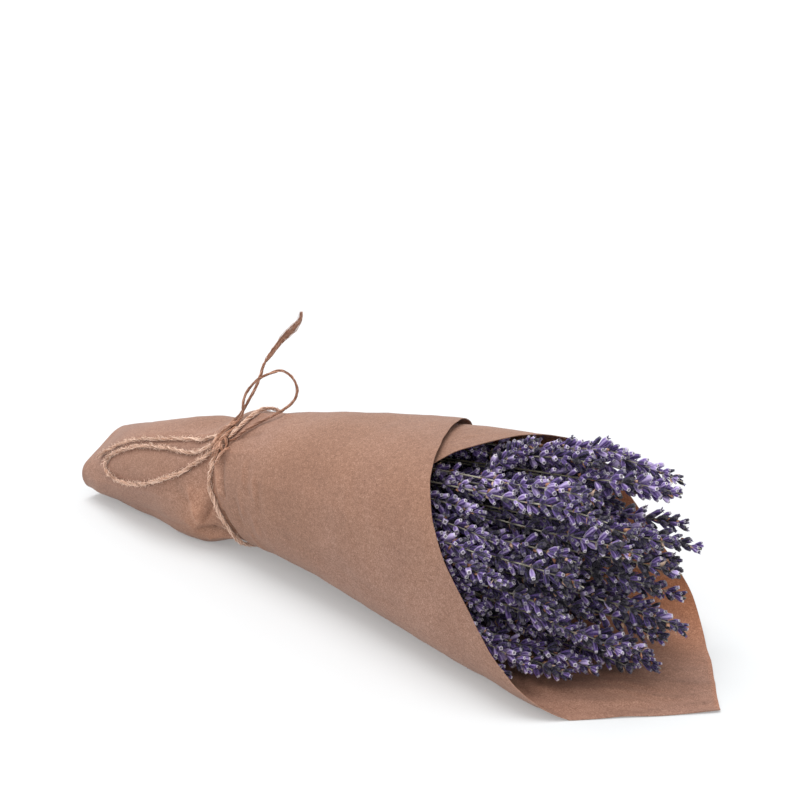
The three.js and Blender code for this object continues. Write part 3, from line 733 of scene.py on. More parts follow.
def calyx_look():
    """A calyx: grey at its foot, violet between ribs with painted highlights, with a pale rim that is
    partly a painted highlight and painted shade in its mouth.
    """
    made, tree, shader = material("dried_calyx", roughness=0.7, specular=0.3, sheen=0.12)
    shader.inputs["Sheen Tint"].default_value = CALYX_SHEEN
    place = place_in(tree)
    along = number(tree, "along")
    tone = number(tree, "tone")
    down = ramp(tree, noise(tree, place, scale=2600.0, detail=2.0), DOWN_PARTS)
    # The pale rim: partly real, partly a painted highlight.
    rim = arithmetic(tree, "MULTIPLY", ramp(tree, along, RIM_HIGHLIGHT_PARTS), ramp(tree, tone, RIM_BY_TONE))
    body = mixed(tree, down, ramp(tree, tone, CALYX_VIOLETS), DOWN)
    body = mixed(tree, ramp(tree, along, FOOT_PARTS), body, FOOT)
    body = mixed(tree, rim, body, RIM_AND_HIGHLIGHT)
    # Painted shade in the mouth.
    body = mixed(tree, ramp(tree, along, THROAT_SHADE_PARTS), body, THROAT_SHADE)
    tree.links.new(body, shader.inputs["Base Color"])
    grain = noise(tree, place, scale=2200.0, detail=3.0)
    bump(tree, shader, grain, strength=0.35, distance=0.0003)
    return made


def jute_look(name, tint, lift=0.0):
    """Jute fibres, all of them moved by lift towards the light end of their colours; a lift above 0 is
    painted light.
    """
    made, tree, shader = material(name, roughness=0.85, specular=0.2, sheen=0.2 * tint[0])
    place = place_in(tree)
    grain = noise(tree, place, scale=1900.0, detail=4.0, roughness=0.7)
    patch = noise(tree, place, scale=130.0, detail=2.0)
    shade = weighed(tree, (grain, 0.45), (number(tree, "tone"), 0.3), (patch, 0.25), (lift, 1.0))
    colour = mixed(tree, 1.0, ramp(tree, shade, JUTE_COLOURS), tint, "MULTIPLY")
    tree.links.new(colour, shader.inputs["Base Color"])
    bump(tree, shader, grain, strength=0.6, distance=0.0003)
    return made


def floor_look():
    """A white table lit from below a little, which keeps its shadows light."""
    made, tree, shader = material("white_ground", roughness=0.9, specular=0.0)
    shader.inputs["Emission Color"].default_value = (1.0, 1.0, 1.0, 1.0)
    shader.inputs["Emission Strength"].default_value = GROUND_GLOW
    colour = ramp(tree, noise(tree, place_in(tree), scale=3.0), FLOOR_GREYS)
    tree.links.new(colour, shader.inputs["Base Color"])
    return made


# Camera, light and ground

CAMERA_AZIMUTH = math.radians(39)
CAMERA_HEIGHT = math.radians(20)
EYE = [795.17, -643.45, 420.21]
LENS = 72.0
SENSOR = 36.0
WORLD_STRENGTH = 1.0
GROUND_GLOW = 0.22
GROUND_HALF = 40.0
GROUND_DROP = 0.0002
# Wide soft lights: name, the way to each, how wide it is in degrees and its strength.
SUNS = [
    ["softbox_above", (-0.2, -0.05, 1.0), 40, 1.97],
    ["fill_in_front", (0.2, -0.85, 0.5), 60, 0.72],
]


def make_camera():
    data = bpy.data.cameras.new("camera")
    data.lens = LENS
    data.sensor_width = SENSOR
    camera = bpy.data.objects.new("camera", data)
    away = Vector((
        -math.sin(CAMERA_AZIMUTH) * math.cos(CAMERA_HEIGHT),
        math.cos(CAMERA_AZIMUTH) * math.cos(CAMERA_HEIGHT),
        -math.sin(CAMERA_HEIGHT),
    ))
    camera.location = to_frame(EYE)
    camera.rotation_euler = away.to_track_quat("-Z", "Y").to_euler()
    bpy.context.scene.collection.objects.link(camera)
    bpy.context.scene.camera = camera


def make_surroundings():
    world = bpy.data.worlds.new("studio")
    world.use_nodes = True
    background = world.node_tree.nodes["Background"]
    background.inputs["Color"].default_value = (1.0, 1.0, 1.0, 1.0)
    background.inputs["Strength"].default_value = WORLD_STRENGTH
    bpy.context.scene.world = world
    for name, way, spread, strength in SUNS:
        data = bpy.data.lights.new(name, "SUN")
        data.angle = math.radians(spread)
        data.energy = strength
        light = bpy.data.objects.new(name, data)
        light.rotation_euler = (-Vector(way)).to_track_quat("-Z", "Y").to_euler()
        bpy.context.scene.collection.objects.link(light)
    half = GROUND_HALF
    mesh = bpy.data.meshes.new("ground")
    mesh.from_pydata([(-half, -half, 0), (half, -half, 0), (half, half, 0), (-half, half, 0)], [],
                     [[0, 1, 2, 3]])
    mesh.materials.append(floor_look())
    ground = bpy.data.objects.new("ground", mesh)
    ground.location.z = -GROUND_DROP
    bpy.context.scene.collection.objects.link(ground)
    bpy.context.scene.view_settings.view_transform = "Standard"


# Twine: two plies twisted round each other, loose fibres round them and hairs that stand off

PLY_RADIUS = 0.56
PLY_OFFSET = 0.5
PLY_SIDES = 7
LINE_STEP = 0.75
TWIST_LENGTH = 9.0
# How much a ply's offset and thickness vary, over how many points each, and its limits.
PLY_VARIATION = 0.2
OFFSET_SMOOTHING = 9
THICKNESS_SMOOTHING = 5
PLY_LIMITS = (0.35, 0.85)
PLY_TONES = (0.1, 0.5)
# Fibres along the twine: how many points they have, how far they wind, how far out they lie, how
# thick they are and how thin their ends.
STRAND_EVERY = 0.5
STRAND_POINTS = (5, 13)
STRAND_WINDING = (2, 6)
STRAND_OFFSET = 0.85
STRAND_RADII = (0.1, 0.24)
STRAND_END = 0.3
STRAND_TONES = (0.1, 1.2)
LOOSE = 0.75
# Hairs: no tip is further from the twine than HAIR_REACH.
HAIR_RADIUS = 0.12
HAIR_REACH = 2.9
HAIR_POINTS = 4
HAIR_LEAN = 1.8
HAIR_LENGTHS = (0.8, 2.7)
HAIR_ROOT = 0.8
HAIR_BEND = 1.5
HAIR_CURL = 0.4
HAIR_TIP = 0.35
HAIR_TONES = (0.8, 1.8)
# Fibres of an untwisted end: every third one is as long as the end.
FULL_FIBRE = 3
FIBRE_REACH = (0.75, 1.0)
FIBRE_PLACES = (0.1, 1)
FIBRE_WANDER = 0.12
FIBRE_RADII = (0.22, 0.1)
FIBRE_TONES = (0.2, 1)
FRAY_OVERLAP = 4
LIGHT_JUTE = (1.0, 1.0, 1.0)
KNOT_JUTE = (0.88, 0.77, 0.71)
# Painted light on the band, which lies in shade on the front of the wrap.
BAND_PAINTED_LIGHT = 0.05
DARK_JUTE = (0.62, 0.5, 0.45)
# Untwisted ends: length, fibres, how wide they spread along the end and how flat they lie.
LOW_FRAY = (9.0, 30, [1.0, 1.6, 2.6], 0.6)
UPRIGHT_FRAY = (36.0, 70, [0.8, 1.2, 1.4, 1.5, 1.8, 2.4, 2.7, 2.7, 1.8, 1.6, 0.9], 0.9)
LONG_LOOP_THICK = [0.68, 0.7, 0.78, 0.9, 0.85, 0.65, 0.68, 1.0, 0.85, 0.68, 0.66]


def uneven(count, smoothing, random):
    """Random numbers round 0 that change slowly along a line."""
    raw = random.normal(size=count + 2 * smoothing)
    kernel = np.hanning(smoothing + 2)[1:-1]
    kernel = kernel / np.sqrt(np.sum(kernel ** 2))
    return np.convolve(raw, kernel, mode="same")[smoothing:smoothing + count]


def round_line(line, frames, angle, offset):
    """A line that winds round another one."""
    _, side, rise = frames
    turned = np.cos(angle)[:, None] * side + np.sin(angle)[:, None] * rise
    return line + np.broadcast_to(offset, len(line))[:, None] * turned


def add_plies(form, line, frames, random, thick):
    """The two plies, each a little uneven."""
    distance = np.linspace(0, length_of(line), len(line))
    angle = 2 * np.pi * distance / TWIST_LENGTH
    for ply in range(2):
        nearer = uneven(len(line), OFFSET_SMOOTHING, random)
        thicker = uneven(len(line), THICKNESS_SMOOTHING, random)
        offset = thick * PLY_OFFSET * (1 + PLY_VARIATION * nearer)
        radius = PLY_RADIUS * (1 + PLY_VARIATION * thicker)
        path = round_line(line, frames, angle + np.pi * ply, offset)
        points, faces = tube(path, thick * np.clip(radius, *PLY_LIMITS), PLY_SIDES)
        form.add(points, faces, tone=random.uniform(*PLY_TONES))


def add_strands(form, line, frames, random, thick, loose=LOOSE):
    """Fibres that lie along the twine and wander round it."""
    for _ in range(int(length_of(line) / STRAND_EVERY)):
        count = min(random.integers(*STRAND_POINTS), len(line) // 2)
        start = random.integers(0, len(line) - 2 * count + 1)
        stretch = slice(start, start + 2 * count, 2)
        angle = random.uniform(0, 2 * np.pi) + np.linspace(0, random.uniform(*STRAND_WINDING), count)
        bulge = np.sin(np.linspace(0, np.pi, count))
        offset = STRAND_OFFSET * thick[stretch] + random.uniform(0.0, loose) * bulge
        path = round_line(line[stretch], [f[stretch] for f in frames], angle, offset)
        radius = random.uniform(*STRAND_RADII)
        points, faces = tube(path, radius * (STRAND_END + (1 - STRAND_END) * bulge), 3)
        form.add(points, faces, tone=random.uniform(*STRAND_TONES))


def add_hairs(form, line, frames, random, spacing):
    """Fine hairs that stand off the twine, bent and thinning to a point."""
    way, side, rise = frames
    for _ in range(int(length_of(line) / spacing)):
        k = random.integers(0, len(line))
        angle = random.uniform(0, 2 * np.pi)
        out = math.cos(angle) * side[k] + math.sin(angle) * rise[k]
        lean = random.uniform(-HAIR_LEAN, HAIR_LEAN)
        reach = random.uniform(*HAIR_LENGTHS)
        t = np.linspace(0, 1, HAIR_POINTS)[:, None]
        curl = random.normal(size=3) * HAIR_CURL
        path = line[k] + HAIR_ROOT * out + out * reach * t
        path = path + way[k] * lean * reach * t ** HAIR_BEND + curl * t ** 2
        if np.min(np.linalg.norm(line - path[-1], axis=1)) > HAIR_REACH:
            continue
        points, faces = tube(path, HAIR_RADIUS * np.linspace(1, HAIR_TIP, HAIR_POINTS), 3)
        form.add(points, faces, tone=random.uniform(*HAIR_TONES))


def add_fray(form, line, frames, random, fibres, widths, flatness):
    """An untwisted end: fibres side by side along the line, spread as wide as widths says at
    even steps along it."""
    _, side, rise = frames
    for k in range(fibres):
        reach = 1.0 if k % FULL_FIBRE == 0 else random.uniform(*FIBRE_REACH)
        count = max(int(len(line) * reach), 4)
        share = np.linspace(0, 1, len(line))[:count]
        width = np.interp(share, np.linspace(0, 1, len(widths)), widths)
        angle = random.uniform(0, 2 * np.pi)
        out = math.cos(angle) * side[:count] + flatness * math.sin(angle) * rise[:count]
        path = line[:count] + (random.uniform(*FIBRE_PLACES) * width)[:, None] * out
        path += FIBRE_WANDER * np.stack([uneven(count, 3, random) for _ in range(3)], axis=1)
        points, faces = tube(path[::2], np.linspace(*FIBRE_RADII, len(path[::2])), 3)
        form.add(points, faces, tone=random.uniform(*FIBRE_TONES))


def twine_piece(name, node_name, route, seed, look, hair, thick, fray=None, over=None, loose=LOOSE):
    """One strand of the bow, and the line that it follows. thick is its thickness at even steps
    along it. fray gives how long the untwisted end is, its fibres, their spread and how flat they
    lie; over adds more strands."""
    random = np.random.default_rng(seed)
    line = smooth_line(route, LINE_STEP)
    thick = np.interp(np.linspace(0, 1, len(line)), np.linspace(0, 1, len(thick)), thick)
    frames = frames_along(line)
    form = Form()
    twisted = len(line)
    if fray:
        long, fibres, widths, flatness = fray
        twisted = len(line) - int(long / LINE_STEP)
        overlap = twisted - FRAY_OVERLAP
        add_fray(form, line[overlap:], [f[overlap:] for f in frames], random, fibres, widths, flatness)
    twisted_frames = [f[:twisted] for f in frames]
    add_plies(form, line[:twisted], twisted_frames, random, thick[:twisted])
    add_strands(form, line[:twisted], twisted_frames, random, thick[:twisted], loose)
    add_hairs(form, line[:-2], frames, random, hair)
    if over:
        over(form, random)
    return form.piece(name, [look], [node_name], "jute"), line


def free_twine(name, node_name, route, seed, look, hair, thick, fray=None, loose=LOOSE):
    piece, line = twine_piece(name, node_name, route, seed, look, hair, thick, fray, loose=loose)


def knot_route():
    """The knot's strand: a small trefoil that lies on the wrap."""
    centre = on_wrap(KNOT_X, KNOT_AROUND, KNOT_LIFT)
    out = unit(on_wrap(KNOT_X, KNOT_AROUND, KNOT_LIFT + 1) - centre)
    along = unit(on_wrap(KNOT_X, KNOT_AROUND + 0.01, KNOT_LIFT) - centre)
    across = np.cross(along, out)
    u = np.linspace(0, 4 * np.pi, KNOT_POINTS)
    reach = KNOT_RADIUS * (2 + np.cos(KNOT_LOBES * u)) / 2
    return (centre
            + (reach * np.cos(u))[:, None] * across
            + (KNOT_STRETCH * reach * np.sin(u))[:, None] * along
            + (KNOT_RADIUS * np.sin(KNOT_LOBES * u) / 2)[:, None] * out)


def knot_strands(form, random):
    """Loose strands that pass over the knot, on from the bow's left side to its right side."""
    for start, end, lift in KNOT_STRANDS:
        across = np.linspace(0, 1, KNOT_STRAND_POINTS)
        rise = lift + KNOT_STRAND_RISE * np.sin(np.pi * across)
        route = [on_wrap(start[0] + t * (end[0] - start[0]), start[1] + t * (end[1] - start[1]), h)
                 for t, h in zip(across, rise)]
        line = smooth_line(route, LINE_STEP)
        frames = frames_along(line)
        thick = np.full(len(line), KNOT_STRAND_THICK)
        add_plies(form, line, frames, random, thick)
        add_strands(form, line, frames, random, thick)


def make_twine():
    look = jute_look("jute", LIGHT_JUTE)
    dark_look = jute_look("jute_dark", DARK_JUTE)
    knot_look = jute_look("jute_knotted", KNOT_JUTE)
    # The band's fibres are moved towards the light end: painted light.
    band_painted_light_look = jute_look("jute_band_painted_light", LIGHT_JUTE, BAND_PAINTED_LIGHT)
    free_twine("jute_long_loop", "twine_long_loop", LONG_LOOP, 21, look, hair=0.18,
               thick=LONG_LOOP_THICK, loose=0.7)
    free_twine("jute_low_end", "twine_low_end", LOW_END, 22, look, hair=0.4, thick=[0.7],
               fray=LOW_FRAY, loose=0.5)
    free_twine("jute_upright_loop", "twine_upright_loop", UPRIGHT_LOOP, 23, dark_look,
               hair=4, thick=[0.68], loose=0.3)
    free_twine("jute_upright_end", "twine_upright_end", UPRIGHT_END, 24, dark_look, hair=4,
               thick=[0.78], loose=0.3, fray=UPRIGHT_FRAY)
    twine_piece("jute_band", "twine_band", BAND, 25, band_painted_light_look, hair=0.5, thick=[0.95])
    twine_piece("jute_knot", "twine_knot", knot_route(), 26, knot_look, hair=0.7, thick=[0.75],
                over=knot_strands)


# Paper

PAPER_SHEET = 0.4
# Painted shade in the hollows of folds and painted light on their ridges, painted shade along the flap's
# wrinkles, and painted light on the cut edge as if lit through the paper.
FOLD_SHADE = 0.095
FLAP_WAVE = 1.0
FLAP_SHADE = 0.6
EDGE_PAINTED_LIGHT = 0.4
# Patches of painted light on the sheet, or painted shade below 0: place, share of the way round,
# half length, half width, how much.
PAINTED_LIGHT_AND_SHADE = [
    [145, 0.21, 11, 16, 0.32],
    [162, 0.285, 3, 9, 0.24],
    [128, 0.405, 18, 5, -0.13],
    [108, 0.365, 24, 9, -0.07],
]
# Rows of points along the sheet: from where on, and how far apart.
ROW_STEPS = [[TAIL_X, 3.4], [122, 1.6], [206, 3.4]]
MOUTH_ROWS = 56
COLUMNS_PER_TURN = 200
# The cut edge's own unevenness: height, waves and phase; and where its rim of painted light begins.
EDGE_WAVES = [(0.3, 61, 0), (0.15, 143, 1)]
RIM_START = 0.98
SHADE_LIMITS = (0.7, 1.25)
WAVE_HOLLOW = 0.45
# How far the lining has turned up from the flap, at the back, where its painted light and the rim's set
# in.
BACKLIT_TURNS = (0.04, 0.2)
RIM_TURNS = (-0.005, 0.01)


def sheet_faces(rows, columns):
    """Faces of the sheet's outside, of its lining and of the rim between them."""
    count = rows * columns
    skin, lining = [], []
    for i in range(rows - 1):
        for j in range(columns - 1):
            a, b = i * columns + j, (i + 1) * columns + j
            skin.append([a, b, b + 1, a + 1])
            lining.append([count + a + 1, count + b + 1, count + b, count + a])
    ring = [i * columns for i in range(rows)]
    ring += [(rows - 1) * columns + j for j in range(1, columns)]
    ring += [i * columns + columns - 1 for i in range(rows - 2, -1, -1)]
    ring += [j for j in range(columns - 2, 0, -1)]
    rim = [[b, a, count + a, count + b] for a, b in zip(ring, ring[1:] + ring[:1])]
    return skin, lining, rim


def painted_fold_shade(x, turn, girth):
    """Painted shade in the hollows of folds and painted light on their ridges, with patches of painted
    light and shade on top.
    """
    shade = np.clip(1 + FOLD_SHADE * fold_lift(x, turn, girth), *SHADE_LIMITS)
    for place, around, half_length, half_width, lighter in PAINTED_LIGHT_AND_SHADE:
        away = apart_round(turn % 1, around, girth) / half_width
        shade += lighter * np.exp(-(((x - place) / half_length) ** 2) - away ** 2)
    return shade


def make_paper():
    """The sheet as a thin solid with an outer and an inner face."""
    ends = [row[0] for row in ROW_STEPS[1:]] + [MOUTH_START]
    low_rows = np.concatenate([
        np.linspace(start, end, round((end - start) / step), endpoint=False)
        for (start, step), end in zip(ROW_STEPS, ends)
    ])
    turns = np.arange(round(INNER_EDGE * COLUMNS_PER_TURN), round(OUTER_EDGE * COLUMNS_PER_TURN) + 1)
    turns = turns / COLUMNS_PER_TURN
    edge = mouth_at(turns)
    for height, waves, phase in EDGE_WAVES:
        edge = edge + height * np.sin(turns * waves + phase)
    share = np.linspace(0, 1, MOUTH_ROWS + 1)
    low = np.repeat(low_rows[:, None], len(turns), axis=1)
    high = MOUTH_START + (edge[None, :] - MOUTH_START) * share[:, None]
    sheet_x = np.concatenate([low, high])
    x, turn = sheet_x.ravel(), np.broadcast_to(turns[None, :], sheet_x.shape).ravel()
    girth = outlines(x)[3]
    lift = paper_lift(x, turn, girth)
    sides = []
    for height, floor in ((PAPER / 2, 0.0), (PAPER / 2 - PAPER_SHEET, PAPER_SHEET)):
        points = sheet_points(x, turn, height + lift)
        points[:, 2] = np.maximum(points[:, 2], floor)
        waves = flap_waves(points, turn)
        points[:, 2] += FLAP_WAVE * waves
        sides.append(points)
    painted_shade = painted_fold_shade(x, turn, girth)
    # Painted shade along the flap's wrinkles, on top of the folds' painted shade and light.
    lining_painted_shade = painted_shade - FLAP_SHADE * (waves - WAVE_HOLLOW * np.clip(2 * waves, 0, 1))
    # Painted light, as if lit through the paper: where the lining turns up at the back, and along the cut
    # edge there.
    rim_painted_light = np.concatenate([0 * low_rows, EDGE_PAINTED_LIGHT * smooth_step(share, RIM_START, 1.0)])
    backlit = smooth_step(-turn, *BACKLIT_TURNS)
    backlit = np.maximum(backlit, np.repeat(rim_painted_light, len(turns)) * smooth_step(-turn, *RIM_TURNS))
    skin, lining, rim = sheet_faces(*sheet_x.shape)
    form = Form()
    # The painted shade and light of the folds and the flap go in 'along', the painted light through the
    # lining in 'tone'.
    form.add(np.concatenate(sides), skin, along=np.concatenate([painted_shade, lining_painted_shade]),
             tone=np.concatenate([0 * backlit, backlit]))
    form.faces += lining + rim
    form.kinds += [1] * len(lining) + [0] * len(rim)
    looks = [
        kraft("kraft_paper", KRAFT_OUTSIDE, OUTSIDE_BACKLIT_TINT),
        kraft("kraft_paper_inside", KRAFT_INSIDE, INSIDE_BACKLIT_TINT),
    ]
    form.piece("kraft_wrap", looks, ["paper_wrap"], "kraft_paper", crease=50)


# Where the spikes lie: the same rules as the solids follow

WORD = 0xFFFFFFFF
SEED_STEP = 0x6D2B79F5
# Stems never push each other, so the reach between two of their balls is far below 0.
NEVER = -1e6


def seeded_random(seed):
    """The solids' own run of numbers from 0 to 1, by mixing the bits of a growing 32-bit word."""
    state = seed

    def draw():
        nonlocal state
        state = (state + SEED_STEP) & WORD
        word = ((state ^ (state >> 15)) * (1 | state)) & WORD
        word = ((word + (((word ^ (word >> 7)) * (61 | word)) & WORD)) & WORD) ^ word
        return (word ^ (word >> 14)) / (WORD + 1)

    return draw


def room_at(x):
    half_width, half_height, middle_z, middle_y, _, low, high = between(SECTIONS, x)
    return middle_y, middle_z, half_width - ROOM_MARGIN, half_height - ROOM_MARGIN, low, high


def corner_reach(low, top, across, up):
    """How much further than a round room the squarish one reaches in a direction."""
    length = math.hypot(across, up) or 1
    power = low + (top - low) * (1 + up / length) / 2
    return ((abs(across) / length) ** power + (abs(up) / length) ** power) ** (-1 / power)


def keep_in_room(point):
    y, z, wide, tall, low, top = room_at(point[0])
    across, up = (point[1] - y) / wide, (point[2] - z) / tall
    over = math.hypot(across, up) / corner_reach(low, top, across, up)
    if over > 1:
        point[1] = y + (point[1] - y) / over
        point[2] = z + (point[2] - z) / over
    point[2] = max(point[2], LOWEST_AXIS)


def in_room(x, across, up):
    y, z, wide, tall, low, top = room_at(x)
    corner = corner_reach(low, top, across, up)
    point = np.array([x, y + corner * across * wide, z + corner * up * tall])
    keep_in_room(point)
    return point


class Spray:
    """Two neighbouring spikes: the root and foot of their stems, their tips and the way they lie apart."""

    def __init__(self, root, base, tip, side, held):
        self.root, self.base, self.tip, self.side = root, base, tip, side
        self.held = held
        self.balls = None

    def strand(self, hand):
        """Root, foot and tip of one of the two spikes."""
        way = unit(self.tip - self.base)
        side = unit(self.side - np.dot(self.side, way) * way)
        back = -RING_STEP if hand < 0 else 0
        ends = []
        for end, spread in ((self.base, BASE_SPREAD), (self.tip, TIP_SPREAD)):
            point = end + hand * spread * side + back * way
            point[2] = max(point[2], LOWEST_AXIS)
            ends.append(point)
        return self.root + hand * STEM_RADIUS * self.side, ends[0], ends[1]


def even_sprays(draw):
    sprays = []
    for i in range(SPRAYS):
        spread = math.sqrt((i + 0.5) / SPRAYS)
        angle = i * GOLDEN_ANGLE
        across, up = spread * math.cos(angle), spread * math.sin(angle)
        middle = in_room(SPREAD_X, across, up)
        reach = FOREMOST_TIP - REACH_FALL_Y * (middle[1] - REACH_MIDDLE_Y) ** 2
        reach -= REACH_PER_Z * abs(middle[2] - REACH_MIDDLE_Z)
        tip_x = reach - (i % TIERS) * TIER_STEP + TIP_JITTER * (draw() - 0.5)
        length = SPIKE_LENGTH * (SHORTEST_SPIKE + SPIKE_VARIATION * draw())
        apart = angle + math.pi / 2 + TURN_JITTER * (draw() - 0.5)
        sprays.append(Spray(
            in_room(STEM_ROOT_X, across, up),
            in_room(tip_x - length, across, up),
            in_room(tip_x, across, up),
            np.array([0.0, math.cos(apart), math.sin(apart)]),
            False,
        ))
    return sprays


def stray_sprays():
    sprays = []
    for base, tip, apart in STRAYS:
        y, z, wide, tall, _, _ = room_at(STEM_ROOT_X)
        mouth_y, mouth_z, mouth_wide, mouth_tall, _, _ = room_at(base[0])
        across = STRAY_ROOT_SPREAD * (base[1] - mouth_y) / mouth_wide
        up = STRAY_ROOT_SPREAD * (base[2] - mouth_z) / mouth_tall
        lean = math.radians(apart)
        sprays.append(Spray(
            np.array([STEM_ROOT_X, y + across * wide, z + up * tall]),
            np.array(base, float),
            np.array(tip, float),
            np.array([0.0, math.cos(lean), math.sin(lean)]),
            True,
        ))
    return sprays


STEM_SHARES = np.arange(FIRST_STEM_BALL, STEM_BALLS) / STEM_BALLS
SPIKE_SHARES = np.arange(SPIKE_BALLS + 1) / SPIKE_BALLS
IS_STEM = np.concatenate([np.ones(len(STEM_SHARES), bool), np.zeros(len(SPIKE_SHARES), bool)] * 2)
SPIKE_RADII = SPIKE_RADIUS * between_all(SPIKE_SHAPE, SPIKE_SHARES)[:, 0]
BALL_RADII = np.concatenate([np.full(len(STEM_SHARES), STEM_RADIUS), SPIKE_RADII] * 2)
FOOT_PULL = np.concatenate([STEM_SHARES, 1 - SPIKE_SHARES] * 2)
TIP_PULL = np.concatenate([np.zeros(len(STEM_SHARES)), SPIKE_SHARES] * 2)
BALL_REACH = BALL_RADII[:, None] + BALL_RADII[None, :] + CLEARANCE
BALL_REACH[IS_STEM[:, None] & IS_STEM[None, :]] = NEVER


def spike_axis(base, tip, shares):
    shares = np.asarray(shares, float)[:, None]
    points = base + (tip - base) * shares
    points[:, 2] += (4 * shares * (1 - shares) * SPIKE_BOW)[:, 0]
    return points


def balls_of(spray):
    if spray.balls is None:
        centres = []
        for hand in (-1, 1):
            root, base, tip = spray.strand(hand)
            centres.append(root + (base - root) * STEM_SHARES[:, None])
            centres.append(spike_axis(base, tip, SPIKE_SHARES))
        spray.balls = np.concatenate(centres)
    return spray.balls


def part(one, other):
    """Pushes two sprays apart where they come nearest, and says whether they were too near."""
    a, b = balls_of(one), balls_of(other)
    away = a[:, None] - b[None, :]
    distance = np.sqrt(np.einsum("ijk,ijk->ij", away, away))
    deep = BALL_REACH - distance
    i, j = divmod(int(np.argmax(deep)), len(b))
    if deep[i, j] <= NEAR_ENOUGH:
        return False
    way = away[i, j] / distance[i, j]
    share = 0.5 if one.held == other.held else 1.0
    for spray, partner, ball, sign in ((one, other, i, 1), (other, one, j, -1)):
        if spray.held and not partner.held:
            continue
        push = sign * share * deep[i, j]
        for end, pull in ((spray.base, FOOT_PULL[ball]), (spray.tip, TIP_PULL[ball])):
            end[0] += push * way[0]
            end[1] += push * way[1] * pull
            end[2] += push * way[2] * pull
            if not spray.held:
                keep_in_room(end)
        spray.balls = None
    return True


def settled_sprays():
    sprays = even_sprays(seeded_random(LAYOUT_SEED)) + stray_sprays()
    for _ in range(SETTLE_ROUNDS):
        touching = False
        for i, one in enumerate(sprays):
            for other in sprays[i + 1:]:
                touching = part(one, other) or touching
        if not touching:
            break
    return sprays


# Stems

STEM_SEED = 41
STEM_SIDES = 5
STEM_STEP = 9
STEM_RADII = (1.0, 0.45)
STEM_VARIATION = (0.85, 1.05)
STEM_SWAY = (0, 0.7, 0.7)
SWAY_SHARES = (0.0, 0.33, 0.67)
# Where the spike's way is taken, and the stem's last points behind and before the spike's foot.
FOOT_SHARE = 0.1
FOOT_POINTS = (-4, 1.0)
STEM_TAIL_X = 33
STEM_TAIL_STAGGER = 9
PACK_PLACES = [60, 100, 134, 155, 176]
PACK_MARGIN = [[TAIL_X, 4.2], [155, 5.5], [STEM_ROOT_X, ROOM_MARGIN]]


def packed_place(x, across, up):
    """A stem's place in the bundle at x, from its place in the room at the stems' root."""
    half_width, half_height, middle_z, middle_y, tilt, _, _ = between(SECTIONS, x)
    margin = np.interp(x, [row[0] for row in PACK_MARGIN], [row[1] for row in PACK_MARGIN])
    y, z = across * (half_width - margin), up * (half_height - margin)
    lean = math.radians(tilt)
    return np.array([
        x,
        middle_y + y * math.cos(lean) - z * math.sin(lean),
        middle_z + y * math.sin(lean) + z * math.cos(lean),
    ])


def make_stems(sprays, look):
    random = np.random.default_rng(STEM_SEED)
    form = Form()
    stems = {}
    middle_y, middle_z, wide, tall, _, _ = room_at(STEM_ROOT_X)
    for i, spray in enumerate(sprays):
        for hand in (-1, 1):
            root, base, tip = spray.strand(hand)
            across, up = (root[1] - middle_y) / wide, (root[2] - middle_z) / tall
            size = max(math.hypot(across, up), 1)
            across, up = across / size, up / size
            tail = STEM_TAIL_X + STEM_TAIL_STAGGER * random.uniform()
            route = [packed_place(x, across, up) for x in [tail] + PACK_PLACES]
            foot = unit(spike_axis(base, tip, [FOOT_SHARE])[0] - base)
            sway = random.normal(size=3) * STEM_SWAY
            for share in SWAY_SHARES:
                route.append(root + (base - root) * share + sway * math.sin(math.pi * share))
            route += [base + distance * foot for distance in FOOT_POINTS]
            line = smooth_line(route, STEM_STEP)
            radius = np.linspace(*STEM_RADII, len(line)) * random.uniform(*STEM_VARIATION)
            points, faces = tube(line, radius, STEM_SIDES, random.uniform(0, 1))
            form.add(points, faces, tone=random.uniform(0, 1))
            stems[i, hand] = line
    form.piece("lavender_stems", [look], ["stems"], "dried_stems")
    return stems


# Flower spikes

SPRAY_SEED = 51
CALYX_LENGTH = 7.6
CALYX_SIDES = 8
CALYX_RIB = 0.12
# How much painted light the ribs get and painted shade the grooves.
RIB_PAINTED_LIGHT = 0.22
CALYX_TOOTH = 0.12
CALYX_BEND = 0.5
CALYX_FLARES = (0.9, 1.12)
CALYX_WAISTS = (0.9, 1.08)
FLARE_FROM = 0.6
# A calyx from foot to mouth and into it: height, radius and the value that colours it.
CALYX_RINGS = [
    [0.0, 0.34, 0.0],
    [0.33, 1.08, 0.3],
    [0.68, 1.36, 0.46],
    [0.97, 0.8, 0.72],
    [0.89, 0.4, 0.95],
]
CALYX_RIBBED = 3
# Painted highlights on the ribs and painted shade in the grooves between them, on a calyx's outside as far
# as its rim.
RIB_HIGHLIGHT_PATTERN = np.tile([1, -1], CALYX_SIDES * len(CALYX_RINGS) // 2)
RIB_HIGHLIGHT_PATTERN[CALYX_RIBBED * CALYX_SIDES:] = 0
PETALS = 5
PETAL_JITTER = 0.2
PETAL_REACH = (1.0, 1.7)
PETAL_RISE = (0.4, 1.8)
COROLLA_FOOT = -0.6
# A petal's points: turn off its middle, and how far out and up as shares of its reach and rise.
PETAL_POINTS = [(-0.42, 0.62, 0.45), (0.42, 0.62, 0.5), (0.0, 1.0, 1.0), (0.0, 0.72, 0.2)]
BRACT_LENGTHS = (3.8, 5.2)
BRACT_WIDTHS = (1.2, 1.8)
FORMS = 6
